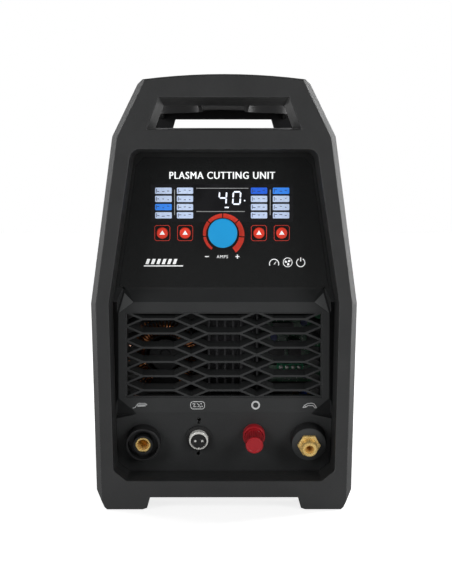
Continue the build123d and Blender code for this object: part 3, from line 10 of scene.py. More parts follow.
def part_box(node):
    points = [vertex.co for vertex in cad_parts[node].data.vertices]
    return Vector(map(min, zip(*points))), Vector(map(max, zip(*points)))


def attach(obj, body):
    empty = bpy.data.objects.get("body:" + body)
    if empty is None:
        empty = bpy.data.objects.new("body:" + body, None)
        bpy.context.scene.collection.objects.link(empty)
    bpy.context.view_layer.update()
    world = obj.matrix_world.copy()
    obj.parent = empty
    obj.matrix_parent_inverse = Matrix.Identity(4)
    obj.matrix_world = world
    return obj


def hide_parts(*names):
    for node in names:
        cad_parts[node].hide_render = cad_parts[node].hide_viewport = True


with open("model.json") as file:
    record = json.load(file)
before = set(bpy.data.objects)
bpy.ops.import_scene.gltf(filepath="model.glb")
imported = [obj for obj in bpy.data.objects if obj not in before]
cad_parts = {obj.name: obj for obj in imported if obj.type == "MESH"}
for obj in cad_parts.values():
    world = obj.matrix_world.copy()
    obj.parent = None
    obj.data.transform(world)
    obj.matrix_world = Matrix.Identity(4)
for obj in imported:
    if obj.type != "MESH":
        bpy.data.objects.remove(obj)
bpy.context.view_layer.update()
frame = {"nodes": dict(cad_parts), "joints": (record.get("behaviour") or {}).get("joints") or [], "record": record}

# Lengths below are millimetres, and each mesh is scaled to metres when it becomes a piece.
MM = 0.001
UNIT = "unit"
JOINTS = {joint["name"]: joint for joint in frame["joints"]}
random.seed(7)


def node_box(node):
    """Lowest and highest corner of a CAD node, in millimetres."""
    low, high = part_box(node)
    return low / MM, high / MM


# ---------------------------------------------------------------- materials
FINISHES = {}
EDGE_LEAN_START = 0.06
EDGE_LEAN_END = 0.5


class Finish:
    """A node material in the making: a Principled shader and short ways to wire textures to it."""

    def __init__(self, name):
        self.material = bpy.data.materials.new(name)
        self.material.use_nodes = True
        self.tree = self.material.node_tree
        self.tree.nodes.clear()
        self.shader = self.add("BsdfPrincipled")
        output = self.add("OutputMaterial")
        self.join(self.shader.outputs["BSDF"], output.inputs["Surface"])
        self.place = self.add("TexCoord").outputs["Object"]
        self.normal = None
        FINISHES[name] = self.material

    def add(self, kind):
        return self.tree.nodes.new("ShaderNode" + kind)

    def join(self, source, target):
        self.tree.links.new(source, target)

    def stretched(self, scale):
        """Object coordinates scaled along each axis, for brushed or drawn surfaces."""
        mapping = self.add("Mapping")
        mapping.inputs["Scale"].default_value = scale
        self.join(self.place, mapping.inputs["Vector"])
        return mapping.outputs["Vector"]

    def noise(self, size, detail=3.0, where=None):
        """Noise whose features measure about size millimetres."""
        made = self.add("TexNoise")
        made.inputs["Scale"].default_value = 1 / (size * MM)
        made.inputs["Detail"].default_value = detail
        self.join(where or self.place, made.inputs["Vector"])
        return made.outputs["Fac"]

    def cells(self, size):
        made = self.add("TexVoronoi")
        made.inputs["Scale"].default_value = 1 / (size * MM)
        self.join(self.place, made.inputs["Vector"])
        return made.outputs["Distance"]

    def span(self, source, low, high, start=0.3, end=0.7):
        """Maps a texture's middle range to low..high."""
        made = self.add("MapRange")
        made.inputs["From Min"].default_value = start
        made.inputs["From Max"].default_value = end
        made.inputs["To Min"].default_value = low
        made.inputs["To Max"].default_value = high
        self.join(source, made.inputs["Value"])
        return made.outputs["Result"]

    def blend(self, factor, first, second):
        """Mixes two colours, each a tuple or a socket."""
        made = self.add("Mix")
        made.data_type = "RGBA"
        self.join(factor, made.inputs[0])
        for socket, colour in ((made.inputs[6], first), (made.inputs[7], second)):
            if isinstance(colour, tuple):
                socket.default_value = (*colour, 1)
            else:
                self.join(colour, socket)
        return made.outputs[2]

    def rounded(self, radius):
        """Normals as if each edge had this radius."""
        made = self.add("Bevel")
        made.samples = 4
        made.inputs["Radius"].default_value = radius * MM
        self.normal = made.outputs["Normal"]

    def bump(self, height, distance):
        """Adds a relief of about this distance, in millimetres, over the normals so far."""
        made = self.add("Bump")
        made.inputs["Distance"].default_value = distance * MM
        made.inputs["Strength"].default_value = 1.0
        self.join(height, made.inputs["Height"])
        if self.normal:
            self.join(self.normal, made.inputs["Normal"])
        self.normal = made.outputs["Normal"]

    def edges(self):
        """A mask that is 1 along edges, from how far the rounded normal leans from the flat one."""
        geometry = self.add("NewGeometry")
        dot = self.add("VectorMath")
        dot.operation = "DOT_PRODUCT"
        self.join(self.normal, dot.inputs[0])
        self.join(geometry.outputs["Normal"], dot.inputs[1])
        return self.span(dot.outputs["Value"], 1.0, 0.0, 1 - EDGE_LEAN_END, 1 - EDGE_LEAN_START)

    def finish(self, colour=None, rough=None, metallic=0.0, coat=0.0, coat_rough=0.1, shine=0.5):
        if colour is not None:
            self.join(colour, self.shader.inputs["Base Color"])
        if rough is not None:
            self.join(rough, self.shader.inputs["Roughness"])
        self.shader.inputs["Metallic"].default_value = metallic
        self.shader.inputs["Coat Weight"].default_value = coat
        self.shader.inputs["Coat Roughness"].default_value = coat_rough
        self.shader.inputs["Specular IOR Level"].default_value = shine
        if self.normal:
            self.join(self.normal, self.shader.inputs["Normal"])


def shade(colour, factor):
    return tuple(min(channel * factor, 1.0) for channel in colour)


GLOSS_BLACK = (0.0068, 0.0073, 0.0074)
LEDGE_TOP = 181.0


def moulded(name, colour, rough=0.45, grain=0.7, relief=0.03, edge=0.4, coat=0.0, vary=0.12, edge_highlight=1.0,
            dark_from=None, shine=0.3):
    """Moulded plastic: fine texture, faint cloudiness, and edges lightened as a painted highlight."""
    made = Finish(name)
    made.rounded(edge)
    cloud = made.noise(35, 4)
    fine = made.noise(grain, 2)
    body = made.blend(made.span(cloud, 0, 1), shade(colour, 1 - vary), shade(colour, 1 + vary))
    speck_and_highlight = made.blend(made.span(fine, 0, 0.35), body, shade(colour, 1.6))
    # Painted highlight: the edges are lightened by the given factor, standing in for light caught on rounded
    # edges.
    if edge_highlight != 1.0:
        speck_and_highlight = made.blend(made.edges(), speck_and_highlight, shade(colour, edge_highlight))
    if dark_from is not None:
        split = made.add("SeparateXYZ")
        made.join(made.place, split.inputs["Vector"])
        above = made.span(split.outputs["Z"], 0, 1, dark_from * MM, (dark_from + 1) * MM)
        speck_and_highlight = made.blend(above, speck_and_highlight, GLOSS_BLACK)
    made.bump(fine, relief)
    made.finish(speck_and_highlight, made.span(made.noise(6, 4), 0.92 * rough, 1.1 * rough), coat=coat, shine=shine)


def metal(name, colour, rough=0.3, grain=(1, 1, 1), size=0.8, relief=0.01, edge=0.2, tint=None, pure=1.0):
    """Bare or plated metal with tool marks stretched along one axis, and faint staining."""
    made = Finish(name)
    made.rounded(edge)
    marks = made.noise(size, 3, made.stretched(grain))
    stain = made.noise(9, 4)
    body = made.blend(made.span(stain, 0, 1), shade(colour, 0.88), tint or shade(colour, 1.08))
    body = made.blend(made.span(marks, 0, 0.4), body, shade(colour, 0.72))
    made.bump(marks, relief)
    made.finish(body, made.span(marks, rough - 0.07, rough + 0.12), metallic=pure)


def coated(name, colour, rough=0.42, peel=1.6, relief=0.05):
    """Powder coat: orange peel over sheet steel, with a fine speckle."""
    made = Finish(name)
    made.rounded(0.5)
    skin = made.noise(peel, 2)
    dust = made.noise(0.5, 2)
    cloud = made.noise(60, 3)
    body = made.blend(made.span(cloud, 0, 1), shade(colour, 0.9), shade(colour, 1.12))
    body = made.blend(made.span(dust, 0, 0.3, 0.5, 0.8), body, shade(colour, 2.2))
    made.bump(skin, relief)
    made.finish(body, made.span(made.noise(4, 3), rough - 0.06, rough + 0.08), coat=0.15, coat_rough=0.35)


def printed(name, colour, glow=0.0):
    """Screen-printed ink, or a lit field behind the film when it glows. A glow on plain ink is painted light that
    makes the ink read brighter.
    """
    made = Finish(name)
    film = made.noise(1.4, 3)
    body = made.blend(made.span(film, 0, 1), shade(colour, 0.86), shade(colour, 1.0))
    made.bump(made.noise(0.25, 1), 0.01)
    made.finish(body, made.span(film, 0.29, 0.45))
    if glow:
        made.join(body, made.shader.inputs["Emission Color"])
        made.shader.inputs["Emission Strength"].default_value = glow


def circuit_board():
    """Solder mask over tracks that run in straight steps, with tinned pads."""
    made = Finish("circuit_board")
    brick = made.add("TexBrick")
    brick.offset = 0.37
    brick.inputs["Scale"].default_value = 1 / (9 * MM)
    brick.inputs["Mortar Size"].default_value = 0.06
    brick.inputs["Color1"].default_value = (0.004, 0.040, 0.016, 1)
    brick.inputs["Color2"].default_value = (0.006, 0.055, 0.022, 1)
    brick.inputs["Mortar"].default_value = (0.012, 0.10, 0.04, 1)
    turn = made.add("Mapping")
    turn.inputs["Rotation"].default_value = (radians(90), 0, 0)
    made.join(made.place, turn.inputs["Vector"])
    made.join(turn.outputs["Vector"], brick.inputs["Vector"])
    pads = made.span(made.cells(2.6), 1, 0, 0.16, 0.20)
    body = made.blend(pads, brick.outputs["Color"], (0.42, 0.42, 0.40))
    made.bump(brick.outputs["Fac"], 0.04)
    made.finish(body, made.span(made.noise(3), 0.28, 0.42), coat=0.3)


def filter_foam():
    made = Finish("filter_foam")
    cells = made.cells(1.3)
    body = made.blend(made.span(cells, 0, 1, 0.1, 0.6), (0.10, 0.095, 0.08), (0.50, 0.47, 0.38))
    made.bump(cells, 0.5)
    made.finish(body, made.span(made.noise(2), 0.85, 0.98))


def display_glass():
    """Smoked window: black behind a glossy face, with faint smears."""
    made = Finish("display_glass")
    smear = made.noise(14, 5)
    body = made.blend(made.span(smear, 0, 1), (0.004, 0.004, 0.005), (0.007, 0.007, 0.009))
    made.finish(body, made.span(smear, 0.16, 0.26))


def wound_copper():
    """Enamelled wire: copper under clear enamel, darker where the enamel is thick."""
    made = Finish("copper")
    streak = made.noise(2.5, 4)
    body = made.blend(made.span(streak, 0, 1), (0.20, 0.060, 0.017), (0.42, 0.16, 0.047))
    made.bump(made.noise(0.8), 0.02)
    made.finish(body, made.span(streak, 0.22, 0.38), metallic=1.0, coat=0.6, coat_rough=0.12)


# The bezel and panel edges are lightened strongly: a painted highlight for the bright lines along their rims.
moulded("bezel_plastic", (0.030, 0.0305, 0.031), rough=0.38, grain=0.8, relief=0.03, edge=0.8, edge_highlight=10.0)
moulded("panel_plastic", (0.026, 0.027, 0.0275), rough=0.42, grain=0.8, relief=0.02, edge=0.5, edge_highlight=4.0,
        dark_from=LEDGE_TOP)
# Light grey: a painted highlight for the slanting corner faces of the grille frame.
moulded("corner_highlight_plastic", (0.14, 0.145, 0.145), rough=0.30, grain=0.5, relief=0.01)
moulded("overlay_film", GLOSS_BLACK, rough=0.24, grain=0.35, relief=0.004, edge=0.2, vary=0.06, shine=0.3)
moulded("display_unit", (0.030, 0.030, 0.032), rough=0.5)
moulded("red_plastic", (0.36, 0.012, 0.018), rough=0.34, grain=0.5, relief=0.012, vary=0.08, coat=0.15)
moulded("key_red", (0.86, 0.045, 0.02), rough=0.34, grain=0.5, relief=0.012, vary=0.05, coat=0.2)
moulded("blue_plastic", (0.006, 0.33, 0.74), rough=0.50, grain=0.3, relief=0.006, vary=0.04, edge=0.3)
moulded("black_insulator", (0.016, 0.016, 0.0165), rough=0.40, grain=0.6, relief=0.02, edge_highlight=2.4)
moulded("grey_insulator", (0.036, 0.038, 0.039), rough=0.48, grain=0.7, relief=0.03, edge_highlight=1.5)
moulded("rubber", (0.016, 0.016, 0.016), rough=0.78, grain=1.1, relief=0.05, edge=0.8)
moulded("hose", (0.008, 0.02, 0.09), rough=0.32, grain=1.5, relief=0.01, coat=0.2)
moulded("capacitor_sleeve", (0.008, 0.014, 0.06), rough=0.24, grain=2.0, relief=0.01, coat=0.3)
moulded("ferrite", (0.012, 0.012, 0.013), rough=0.60, grain=0.5, relief=0.05, edge=0.6)
moulded("terminal_green", (0.012, 0.19, 0.085), rough=0.42, grain=0.5, relief=0.01)
# Painted shade: the handle is darkened for the shadow under it.
moulded("shaded_handle_plastic", (0.010, 0.010, 0.0105), rough=0.55, grain=0.8, relief=0.03, edge=0.3, shine=0.2)
metal("brass", (0.96, 0.64, 0.20), rough=0.26, grain=(1, 0.12, 1), tint=(1.0, 0.76, 0.32), pure=0.5)
metal("nickel", (0.96, 0.95, 0.90), rough=0.22, grain=(1, 0.15, 1), pure=0.4)
metal("zinc_steel", (0.52, 0.53, 0.54), rough=0.34, grain=(1, 0.1, 1), size=1.6, tint=(0.58, 0.57, 0.50))
# Painted shade: aluminium is kept near black, for the heat sinks that sit deep and dim behind the grille.
metal("aluminium", (0.075, 0.075, 0.078), rough=0.36, grain=(1, 0.06, 1), size=1.2)
metal("cast_alloy", (0.46, 0.46, 0.46), rough=0.55, size=1.3, relief=0.12, edge=0.8)
coated("painted_steel", (0.022, 0.022, 0.0225))
coated("black_steel", (0.014, 0.014, 0.014), rough=0.36, peel=1.0, relief=0.02)
coated("motor_steel", (0.035, 0.037, 0.042), rough=0.35)
# Painted shade: the inner frame is darkened for the dim inside of the machine.
coated("shaded_inner_black", (0.010, 0.010, 0.010), rough=0.55)
circuit_board()
filter_foam()
display_glass()
wound_copper()
# The white and red inks glow a little: painted light, so the print reads brighter than the lamps alone make it.
printed("print_white_glowing", (0.92, 0.93, 0.93), glow=0.3)
printed("print_grey", (0.40, 0.41, 0.41))
printed("print_pale", (0.62, 0.63, 0.63))
printed("print_red_glowing", (0.86, 0.045, 0.02), glow=0.05)
printed("lit_white", (0.85, 0.90, 1.0), glow=0.7)
printed("lit_pad", (0.50, 0.60, 0.80), glow=0.36)
printed("lit_blue", (0.03, 0.22, 0.80), glow=0.42)
printed("lit_deep_blue", (0.01, 0.10, 0.62), glow=0.45)
printed("pad_mark", (0.05, 0.07, 0.14))

# The inner frame is a deeper black than the cover, and the handle darker than the bezels: both are painted shade,
# for the dim inside of the machine and the shadow under the handle.
NODE_FINISH = {"inner_frame": "shaded_inner_black", "handle": "shaded_handle_plastic"}

for row in frame["record"]["subparts"]:
    shown = frame["nodes"][row["node"]].data
    shown.materials.clear()
    shown.materials.append(FINISHES[NODE_FINISH.get(row["node"], row["material_slot"])])


# ---------------------------------------------------------------- mesh tools
SHARP_FROM = 38.0


def facing(origin, outward):
    """Placement whose local z points outward and local y points up, in millimetres."""
    z_axis = Vector(outward).normalized()
    x_axis = Vector((0, 0, 1)).cross(z_axis).normalized()
    y_axis = z_axis.cross(x_axis)
    made = Matrix((x_axis, y_axis, z_axis)).transposed().to_4x4()
    made.translation = Vector(origin)
    return made


def ring_points(radius, sides):
    return [(radius * cos(tau * step / sides), radius * sin(tau * step / sides)) for step in range(sides)]


def prism(bm, place, outline, low, high):
    """Adds a straight prism over a closed outline, from local z low to high."""
    bottom = [bm.verts.new(place @ Vector((x, y, low))) for x, y in outline]
    top = [bm.verts.new(place @ Vector((x, y, high))) for x, y in outline]
    bm.faces.new(list(reversed(bottom)))
    bm.faces.new(top)
    count = len(outline)
    for step in range(count):
        after = (step + 1) % count
        bm.faces.new((bottom[step], bottom[after], top[after], top[step]))


def block(bm, place, centre, size, low, high, corner=0.0):
    """Adds a rectangular prism, its corners cut when corner is set."""
    x, y = centre
    half_x, half_y = size[0] / 2, size[1] / 2
    if corner:
        outline = []
        for side_x, side_y in ((1, 1), (-1, 1), (-1, -1), (1, -1)):
            near = (x + side_x * half_x, y + side_y * (half_y - corner))
            far = (x + side_x * (half_x - corner), y + side_y * half_y)
            outline += [near, far] if side_x * side_y > 0 else [far, near]
    else:
        outline = [(x + half_x, y + half_y), (x - half_x, y + half_y),
                   (x - half_x, y - half_y), (x + half_x, y - half_y)]
    prism(bm, place, outline, low, high)


def loft(bm, place, loops, closed=False):
    """Adds a skin over (outline, height) loops that all have the same number of points."""
    rings = [
        [bm.verts.new(place @ Vector((x, y, height))) for x, y in outline] for outline, height in loops
    ]
    pairs = list(zip(rings, rings[1:]))
    if closed:
        pairs.append((rings[-1], rings[0]))
    else:
        bm.faces.new(list(reversed(rings[0])))
        bm.faces.new(rings[-1])
    for lower, upper in pairs:
        for step in range(len(lower)):
            after = (step + 1) % len(lower)
            bm.faces.new((lower[step], lower[after], upper[after], upper[step]))


def lathe(bm, place, profile, sides=48, closed=False):
    """Adds a surface turned round local z through (radius, height) points."""
    loft(bm, place, [(ring_points(radius, sides), height) for radius, height in profile], closed)


def hexagon_points(flats, limit, sides):
    """A hexagon this far across its flats, its corners turned down to a radius."""
    made = []
    for step in range(sides):
        angle = tau * step / sides
        reach = flats / 2 / cos(angle % radians(60) - radians(30))
        made.append((min(reach, limit) * cos(angle), min(reach, limit) * sin(angle)))
    return made


def fluted_points(radius, flutes, depth, sides):
    made = []
    for step in range(sides):
        angle = tau * step / sides
        reach = radius - depth * (0.5 - 0.5 * cos(flutes * angle))
        made.append((reach * cos(angle), reach * sin(angle)))
    return made


def thread_profile(radius, depth, low, high, pitch):
    """Rings that stand in for a screw thread, as (radius, height) points from high to low."""
    made = []
    turns = round((high - low) / pitch)
    for turn in range(turns):
        top = high - turn * pitch
        made += [(radius, top), (radius, top - 0.25 * pitch), (radius - depth, top - 0.6 * pitch)]
    made.append((radius - depth, low))
    return made


def stroke(bm, place, points, width, high):
    """Adds a line of this width through points, as overlapping bars."""
    for start, end in zip(points, points[1:]):
        start, end = Vector(start), Vector(end)
        along = (end - start).normalized() * width / 2
        across = Vector((-along.y, along.x))
        near, far = start - along * 0.6, end + along * 0.6
        prism(bm, place, [near + across, near - across, far - across, far + across], 0, high)


def band(bm, place, inner, outer, low, high, start=0.0, end=tau, steps=24):
    """Adds a flat arc; inner and outer are radii, or functions of the share of the way round."""
    def radius(value, share):
        return value(share) if callable(value) else value

    inside, outside = [], []
    for step in range(steps + 1):
        share = step / steps
        angle = start + (end - start) * share
        inside.append((radius(inner, share) * cos(angle), radius(inner, share) * sin(angle)))
        outside.append((radius(outer, share) * cos(angle), radius(outer, share) * sin(angle)))
    prism(bm, place, outside + list(reversed(inside)), low, high)


def tube(bm, points, radius, sides=10, closed=False):
    """Adds a round tube along points."""
    path = [Vector(point) for point in points]
    count = len(path)
    rings = []
    side = None
    for step in range(count):
        ahead = path[(step + 1) % count] if closed or step < count - 1 else path[step]
        behind = path[step - 1] if closed or step else path[step]
        along = (ahead - behind).normalized()
        if side is None:
            side = along.orthogonal().normalized()
        side = (side - along * side.dot(along)).normalized()
        other = along.cross(side)
        rings.append([
            bm.verts.new(path[step] + side * x + other * y) for x, y in ring_points(radius, sides)
        ])
    pairs = list(zip(rings, rings[1:]))
    if closed:
        pairs.append((rings[-1], rings[0]))
    else:
        bm.faces.new(list(reversed(rings[0])))
        bm.faces.new(rings[-1])
    for lower, upper in pairs:
        for step in range(sides):
            after = (step + 1) % sides
            bm.faces.new((lower[step], lower[after], upper[after], upper[step]))


def lettering(bm, place, text, centre, size, high, spacing=1.0):
    """Adds text that fills a rectangle, raised to local z high."""
    curve = bpy.data.curves.new("letters", "FONT")
    curve.body = text
    curve.space_character = spacing
    curve.resolution_u = 3
    holder = bpy.data.objects.new("letters", curve)
    bpy.context.collection.objects.link(holder)
    bpy.context.view_layer.update()
    flat = bpy.data.meshes.new_from_object(holder.evaluated_get(bpy.context.evaluated_depsgraph_get()))
    bpy.data.objects.remove(holder)
    xs = [v.co.x for v in flat.vertices]
    ys = [v.co.y for v in flat.vertices]
    scale_x = size[0] / (max(xs) - min(xs))
    scale_y = size[1] / (max(ys) - min(ys))
    middle = Vector(((max(xs) + min(xs)) / 2, (max(ys) + min(ys)) / 2, 0))
    letters = bmesh.new()
    letters.from_mesh(flat)
    bmesh.ops.remove_doubles(letters, verts=letters.verts, dist=1e-5)
    grown = bmesh.ops.extrude_face_region(letters, geom=letters.faces[:])
    for vert in (g for g in grown["geom"] if isinstance(g, bmesh.types.BMVert)):
        vert.co.z = 1.0
    for vert in letters.verts:
        local = vert.co - middle
        vert.co = place @ Vector((
            centre[0] + local.x * scale_x, centre[1] + local.y * scale_y, vert.co.z * high
        ))
    solid = bpy.data.meshes.new("letters")
    letters.to_mesh(solid)
    letters.free()
    bm.from_mesh(solid)
    bpy.data.meshes.remove(flat)
    bpy.data.meshes.remove(solid)


def piece(name, bm, finish, body=UNIT, replaces=()):
    """Turns a bmesh in millimetres into a piece that rides on a body."""
    bmesh.ops.scale(bm, vec=(MM, MM, MM), verts=bm.verts)
    bmesh.ops.recalc_face_normals(bm, faces=bm.faces)
    mesh = bpy.data.meshes.new(name)
    bm.to_mesh(mesh)
    bm.free()
    mesh.shade_smooth()
    mesh.set_sharp_from_angle(angle=radians(SHARP_FROM))
    mesh.materials.append(FINISHES[finish])
    made = bpy.data.objects.new(name, mesh)
    bpy.context.collection.objects.link(made)
    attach(made, body)
    if replaces:
        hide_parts(*replaces)


# ---------------------------------------------------------------- control panel
OVERLAY_Y = node_box("control_overlay")[0].y
PANEL = facing((0, OVERLAY_Y, 0), (0, -1, 0))
INK = 0.08
KNOB_AT = Vector(JOINTS["encoder_turn"]["pos_m"]) / MM
BUTTON_Z = KNOB_AT.z
BUTTON_XS = [
    sum(corner.x for corner in node_box(f"mode_button_{number}")) / 2 for number in (1, 2, 3, 4)
]


def title_and_marks():
    """White print: a generic heading, the scale's signs, and three plain pictograms."""
    bm = bmesh.new()
    for shift in (-0.24, 0.0, 0.24):
        lettering(bm, PANEL, "PLASMA CUTTING UNIT", (shift - 1.4, 277.4), (89.0, 6.0), INK, spacing=1.12)
    lettering(bm, PANEL, "AMPS", (-1.4, 208.7), (9.6, 2.6), INK, spacing=1.1)
    block(bm, PANEL, (-14.4, 208.8), (3.4, 0.8), 0, INK)
    block(bm, PANEL, (11.4, 208.8), (3.4, 0.8), 0, INK)
    block(bm, PANEL, (11.4, 208.8), (0.8, 3.4), 0, INK)
    # Left mark: three leaning bars over a rule.
    for step in range(6):
        x = -66.5 + step * 4.6
        prism(bm, PANEL, [(x, 202.4), (x + 2.6, 202.4), (x + 4.2, 206.8), (x + 1.6, 206.8)], 0, INK)
    block(bm, PANEL, (-51.2, 200.9), (33.2, 0.9), 0, INK)
    # Right marks: gauge, fan and power.
    gauge = PANEL @ Matrix.Translation((42.5, 202.6, 0))
    band(bm, gauge, 3.6, 4.3, 0, INK, radians(-20), radians(200))
    prism(bm, gauge, [(-0.5, -0.4), (0.5, -0.4), (2.3, 2.9)], 0, INK)
    fan = PANEL @ Matrix.Translation((54.0, 203.9, 0))
    band(bm, fan, 3.5, 4.1, 0, INK)
    for blade in range(3):
        turned = fan @ Matrix.Rotation(tau * blade / 3, 4, "Z")
        prism(bm, turned, [(0.2, 0.3), (1.6, 0.3), (2.6, 1.4), (1.2, 2.2), (0.2, 1.4)], 0, INK)
    power = PANEL @ Matrix.Translation((65.0, 203.7, 0))
    band(bm, power, 3.1, 3.9, 0, INK, radians(120), radians(420))
    block(bm, power, (0, 2.6), (0.8, 3.4), 0, INK)
    piece("panel_print", bm, "print_white_glowing")


ARC_CENTRE = (KNOB_AT.x, KNOB_AT.z - 1.1)
ARC_START = 235.0
ARC_END = -55.5
ARC_SEGMENTS = 6
ARC_GAP = 3.2


def dial_arc():
    """Red scale round the knob, in six parts that widen clockwise."""
    bm = bmesh.new()
    centre = PANEL @ Matrix.Translation((*ARC_CENTRE, 0))
    step = (ARC_END - ARC_START) / ARC_SEGMENTS

    def outer_at(angle):
        return 16.1 + 2.9 * (angle - ARC_START) / (ARC_END - ARC_START)

    for number in range(ARC_SEGMENTS):
        start = ARC_START + number * step - ARC_GAP / 2
        end = ARC_START + (number + 1) * step + ARC_GAP / 2
        band(bm, centre, 14.0, lambda share: outer_at(start + (end - start) * share),
             0, INK, radians(start), radians(end), 16)
    for x in BUTTON_XS:
        outline = PANEL @ Matrix.Translation((x, BUTTON_Z, 0))
        frame_of(bm, outline, 13.2, 1.4, 0.35)
    piece("dial_print", bm, "print_red_glowing")


def frame_of(bm, place, width, corner, line):
    """Adds a thin square outline with cut corners."""
    def loop(half, cut):
        return [(half, half - cut), (half - cut, half), (cut - half, half), (-half, half - cut),
                (-half, cut - half), (cut - half, -half), (half - cut, -half), (half, cut - half)]

    outer = loop(width / 2, corner)
    inner = loop(width / 2 - line, corner - line * 0.6)
    for step in range(8):
        after = (step + 1) % 8
        prism(bm, place, [outer[step], outer[after], inner[after], inner[step]], 0, INK)


PAD_COLUMNS = ((-51.1, 14.0), (-32.9, 13.7), (29.7, 13.8), (48.3, 13.9))
PAD_ROWS = (264.4, 257.55, 250.6, 243.7)
PAD_HEIGHT = 5.3
LIT_PADS = {(0, 2): "lit_blue", (2, 0): "lit_deep_blue", (3, 0): "lit_blue"}


def display():
    """Lit fields in four columns, their small signs, and the reading between two rules."""
    fields = {"lit_pad": bmesh.new(), "lit_blue": bmesh.new(), "lit_deep_blue": bmesh.new()}
    signs = bmesh.new()
    for column, (x, width) in enumerate(PAD_COLUMNS):
        for row, z in enumerate(PAD_ROWS):
            finish = LIT_PADS.get((column, row), "lit_pad")
            block(fields[finish], PANEL, (x, z), (width, PAD_HEIGHT), 0, INK, corner=0.5)
            for mark in range(3):
                length = random.uniform(1.2, 2.6)
                lift = random.uniform(-0.9, 0.9)
                place = (x - width / 2 + 2.6 + mark * width * 0.3, z + lift)
                block(signs, PANEL, place, (length, 0.55), INK, 2 * INK)
            block(signs, PANEL, (x - width / 2 + 1.2, z), (0.5, 3.2), INK, 2 * INK)
    for finish, bm in fields.items():
        piece(f"{finish}_fields", bm, finish)
    piece("field_signs", signs, "pad_mark")
    rules = bmesh.new()
    block(rules, PANEL, (-1.3, 266.5), (44.0, 0.55), 0, INK)
    block(rules, PANEL, (-2.8, 246.9), (41.0, 0.6), 0, INK)
    for x in (-41.7, 39.1):
        block(rules, PANEL, (x, 254.7), (0.6, 21.4), 0, INK)
    piece("display_rules", rules, "print_grey")
    digits = bmesh.new()
    seven_segment(digits, (-1.0, 258.3), (7.2, 11.6), "bcfg")
    seven_segment(digits, (10.8, 258.3), (7.4, 11.6), "abcdef")
    block(digits, PANEL, (17.5, 256.1), (1.1, 1.1), 0, INK)
    block(digits, PANEL, (2.3, 250.3), (3.4, 1.1), 0, INK)
    piece("display_digits", digits, "lit_white")


SEGMENT_WIDTH = 1.25
SEGMENT_GAP = 0.28


def seven_segment(bm, centre, size, lit):
    """Adds one seven-segment digit, each segment a bar with pointed ends, leaning a little."""
    half_x = size[0] / 2 - SEGMENT_WIDTH / 2
    half_z = size[1] / 2 - SEGMENT_WIDTH / 2
    bars = {
        "a": ((-half_x, half_z), (half_x, half_z)), "d": ((-half_x, -half_z), (half_x, -half_z)),
        "g": ((-half_x, 0), (half_x, 0)), "b": ((half_x, half_z), (half_x, 0)),
        "c": ((half_x, 0), (half_x, -half_z)), "e": ((-half_x, 0), (-half_x, -half_z)),
        "f": ((-half_x, half_z), (-half_x, 0)),
    }
    for name in lit:
        start, end = (Vector(point) for point in bars[name])
        along = (end - start).normalized()
        across = Vector((-along.y, along.x)) * SEGMENT_WIDTH / 2
        start = start + along * SEGMENT_GAP
        end = end - along * SEGMENT_GAP
        near = start + along * SEGMENT_WIDTH / 2
        far = end - along * SEGMENT_WIDTH / 2
        outline = [start, near + across, far + across, end, far - across, near - across]
        prism(bm, PANEL, [(centre[0] + p.x + 0.06 * p.y, centre[1] + p.y) for p in outline], 0, INK)


def knob():
    """Blue cap with a paler bevelled rim, over a skirt with grip ribs."""
    low, high = node_box("encoder_knob")
    radius = (high.x - low.x) / 2
    front = facing((KNOB_AT.x, low.y, KNOB_AT.z), (0, -1, 0))
    depth = 13.0
    cap = bmesh.new()
    lathe(cap, front, [(radius - 0.7, -1.3), (radius - 0.35, -1.1), (radius - 0.35, -0.55),
                       (radius - 0.8, -0.12), (radius - 1.6, 0.0)], sides=96)
    piece("knob_cap", cap, "blue_plastic", "encoder_knob", replaces=("encoder_knob",))
    skirt = bmesh.new()
    outline = []
    ribs = 36
    for step in range(ribs * 4):
        rise = 0.0 if step % 4 in (0, 1) else -0.45
        angle = tau * step / (ribs * 4)
        outline.append(((radius + rise) * cos(angle), (radius + rise) * sin(angle)))
    prism(skirt, front, outline, -depth + 1.5, -1.3)
    lathe(skirt, front, [(radius - 0.4, -depth), (radius, -depth + 0.4), (radius, -depth + 1.5)], sides=72)
    piece("knob_skirt", skirt, "black_insulator", "encoder_knob")


def buttons():
    """Domed red keys with a white triangle."""
    for number, x in enumerate(BUTTON_XS, 1):
        node = f"mode_button_{number}"
        low, high = node_box(node)
        front = facing((x, low.y, BUTTON_Z), (0, -1, 0))
        key = bmesh.new()
        radius = 4.7
        length = high.y - low.y
        lathe(key, front, [(radius - 1.5, -length), (radius - 1.5, -8.6), (radius + 0.9, -8.6),
                           (radius + 0.9, -7.6), (radius, -7.6), (radius, -0.5), (radius - 0.18, -0.18),
                           (radius - 0.6, 0.0), (radius - 1.6, -0.12)], sides=56)
        piece(f"mode_key_{number}", key, "key_red", node, replaces=(node,))
        sign = bmesh.new()
        prism(sign, front, [(-2.3, -1.4), (2.3, -1.4), (0, 2.2)], -0.13, -0.02)
        piece(f"mode_key_sign_{number}", sign, "print_white_glowing", node)


title_and_marks()
dial_arc()
display()
knob()
buttons()


# ---------------------------------------------------------------- upper corners of the grille frame
FRAME_FRONT = node_box("front_panel")[0].y
CORNER_TIPS = ((84.3, 8.0, 178.5), (76.0, 0.0, 170.7), (89.0, 0.0, 161.0))


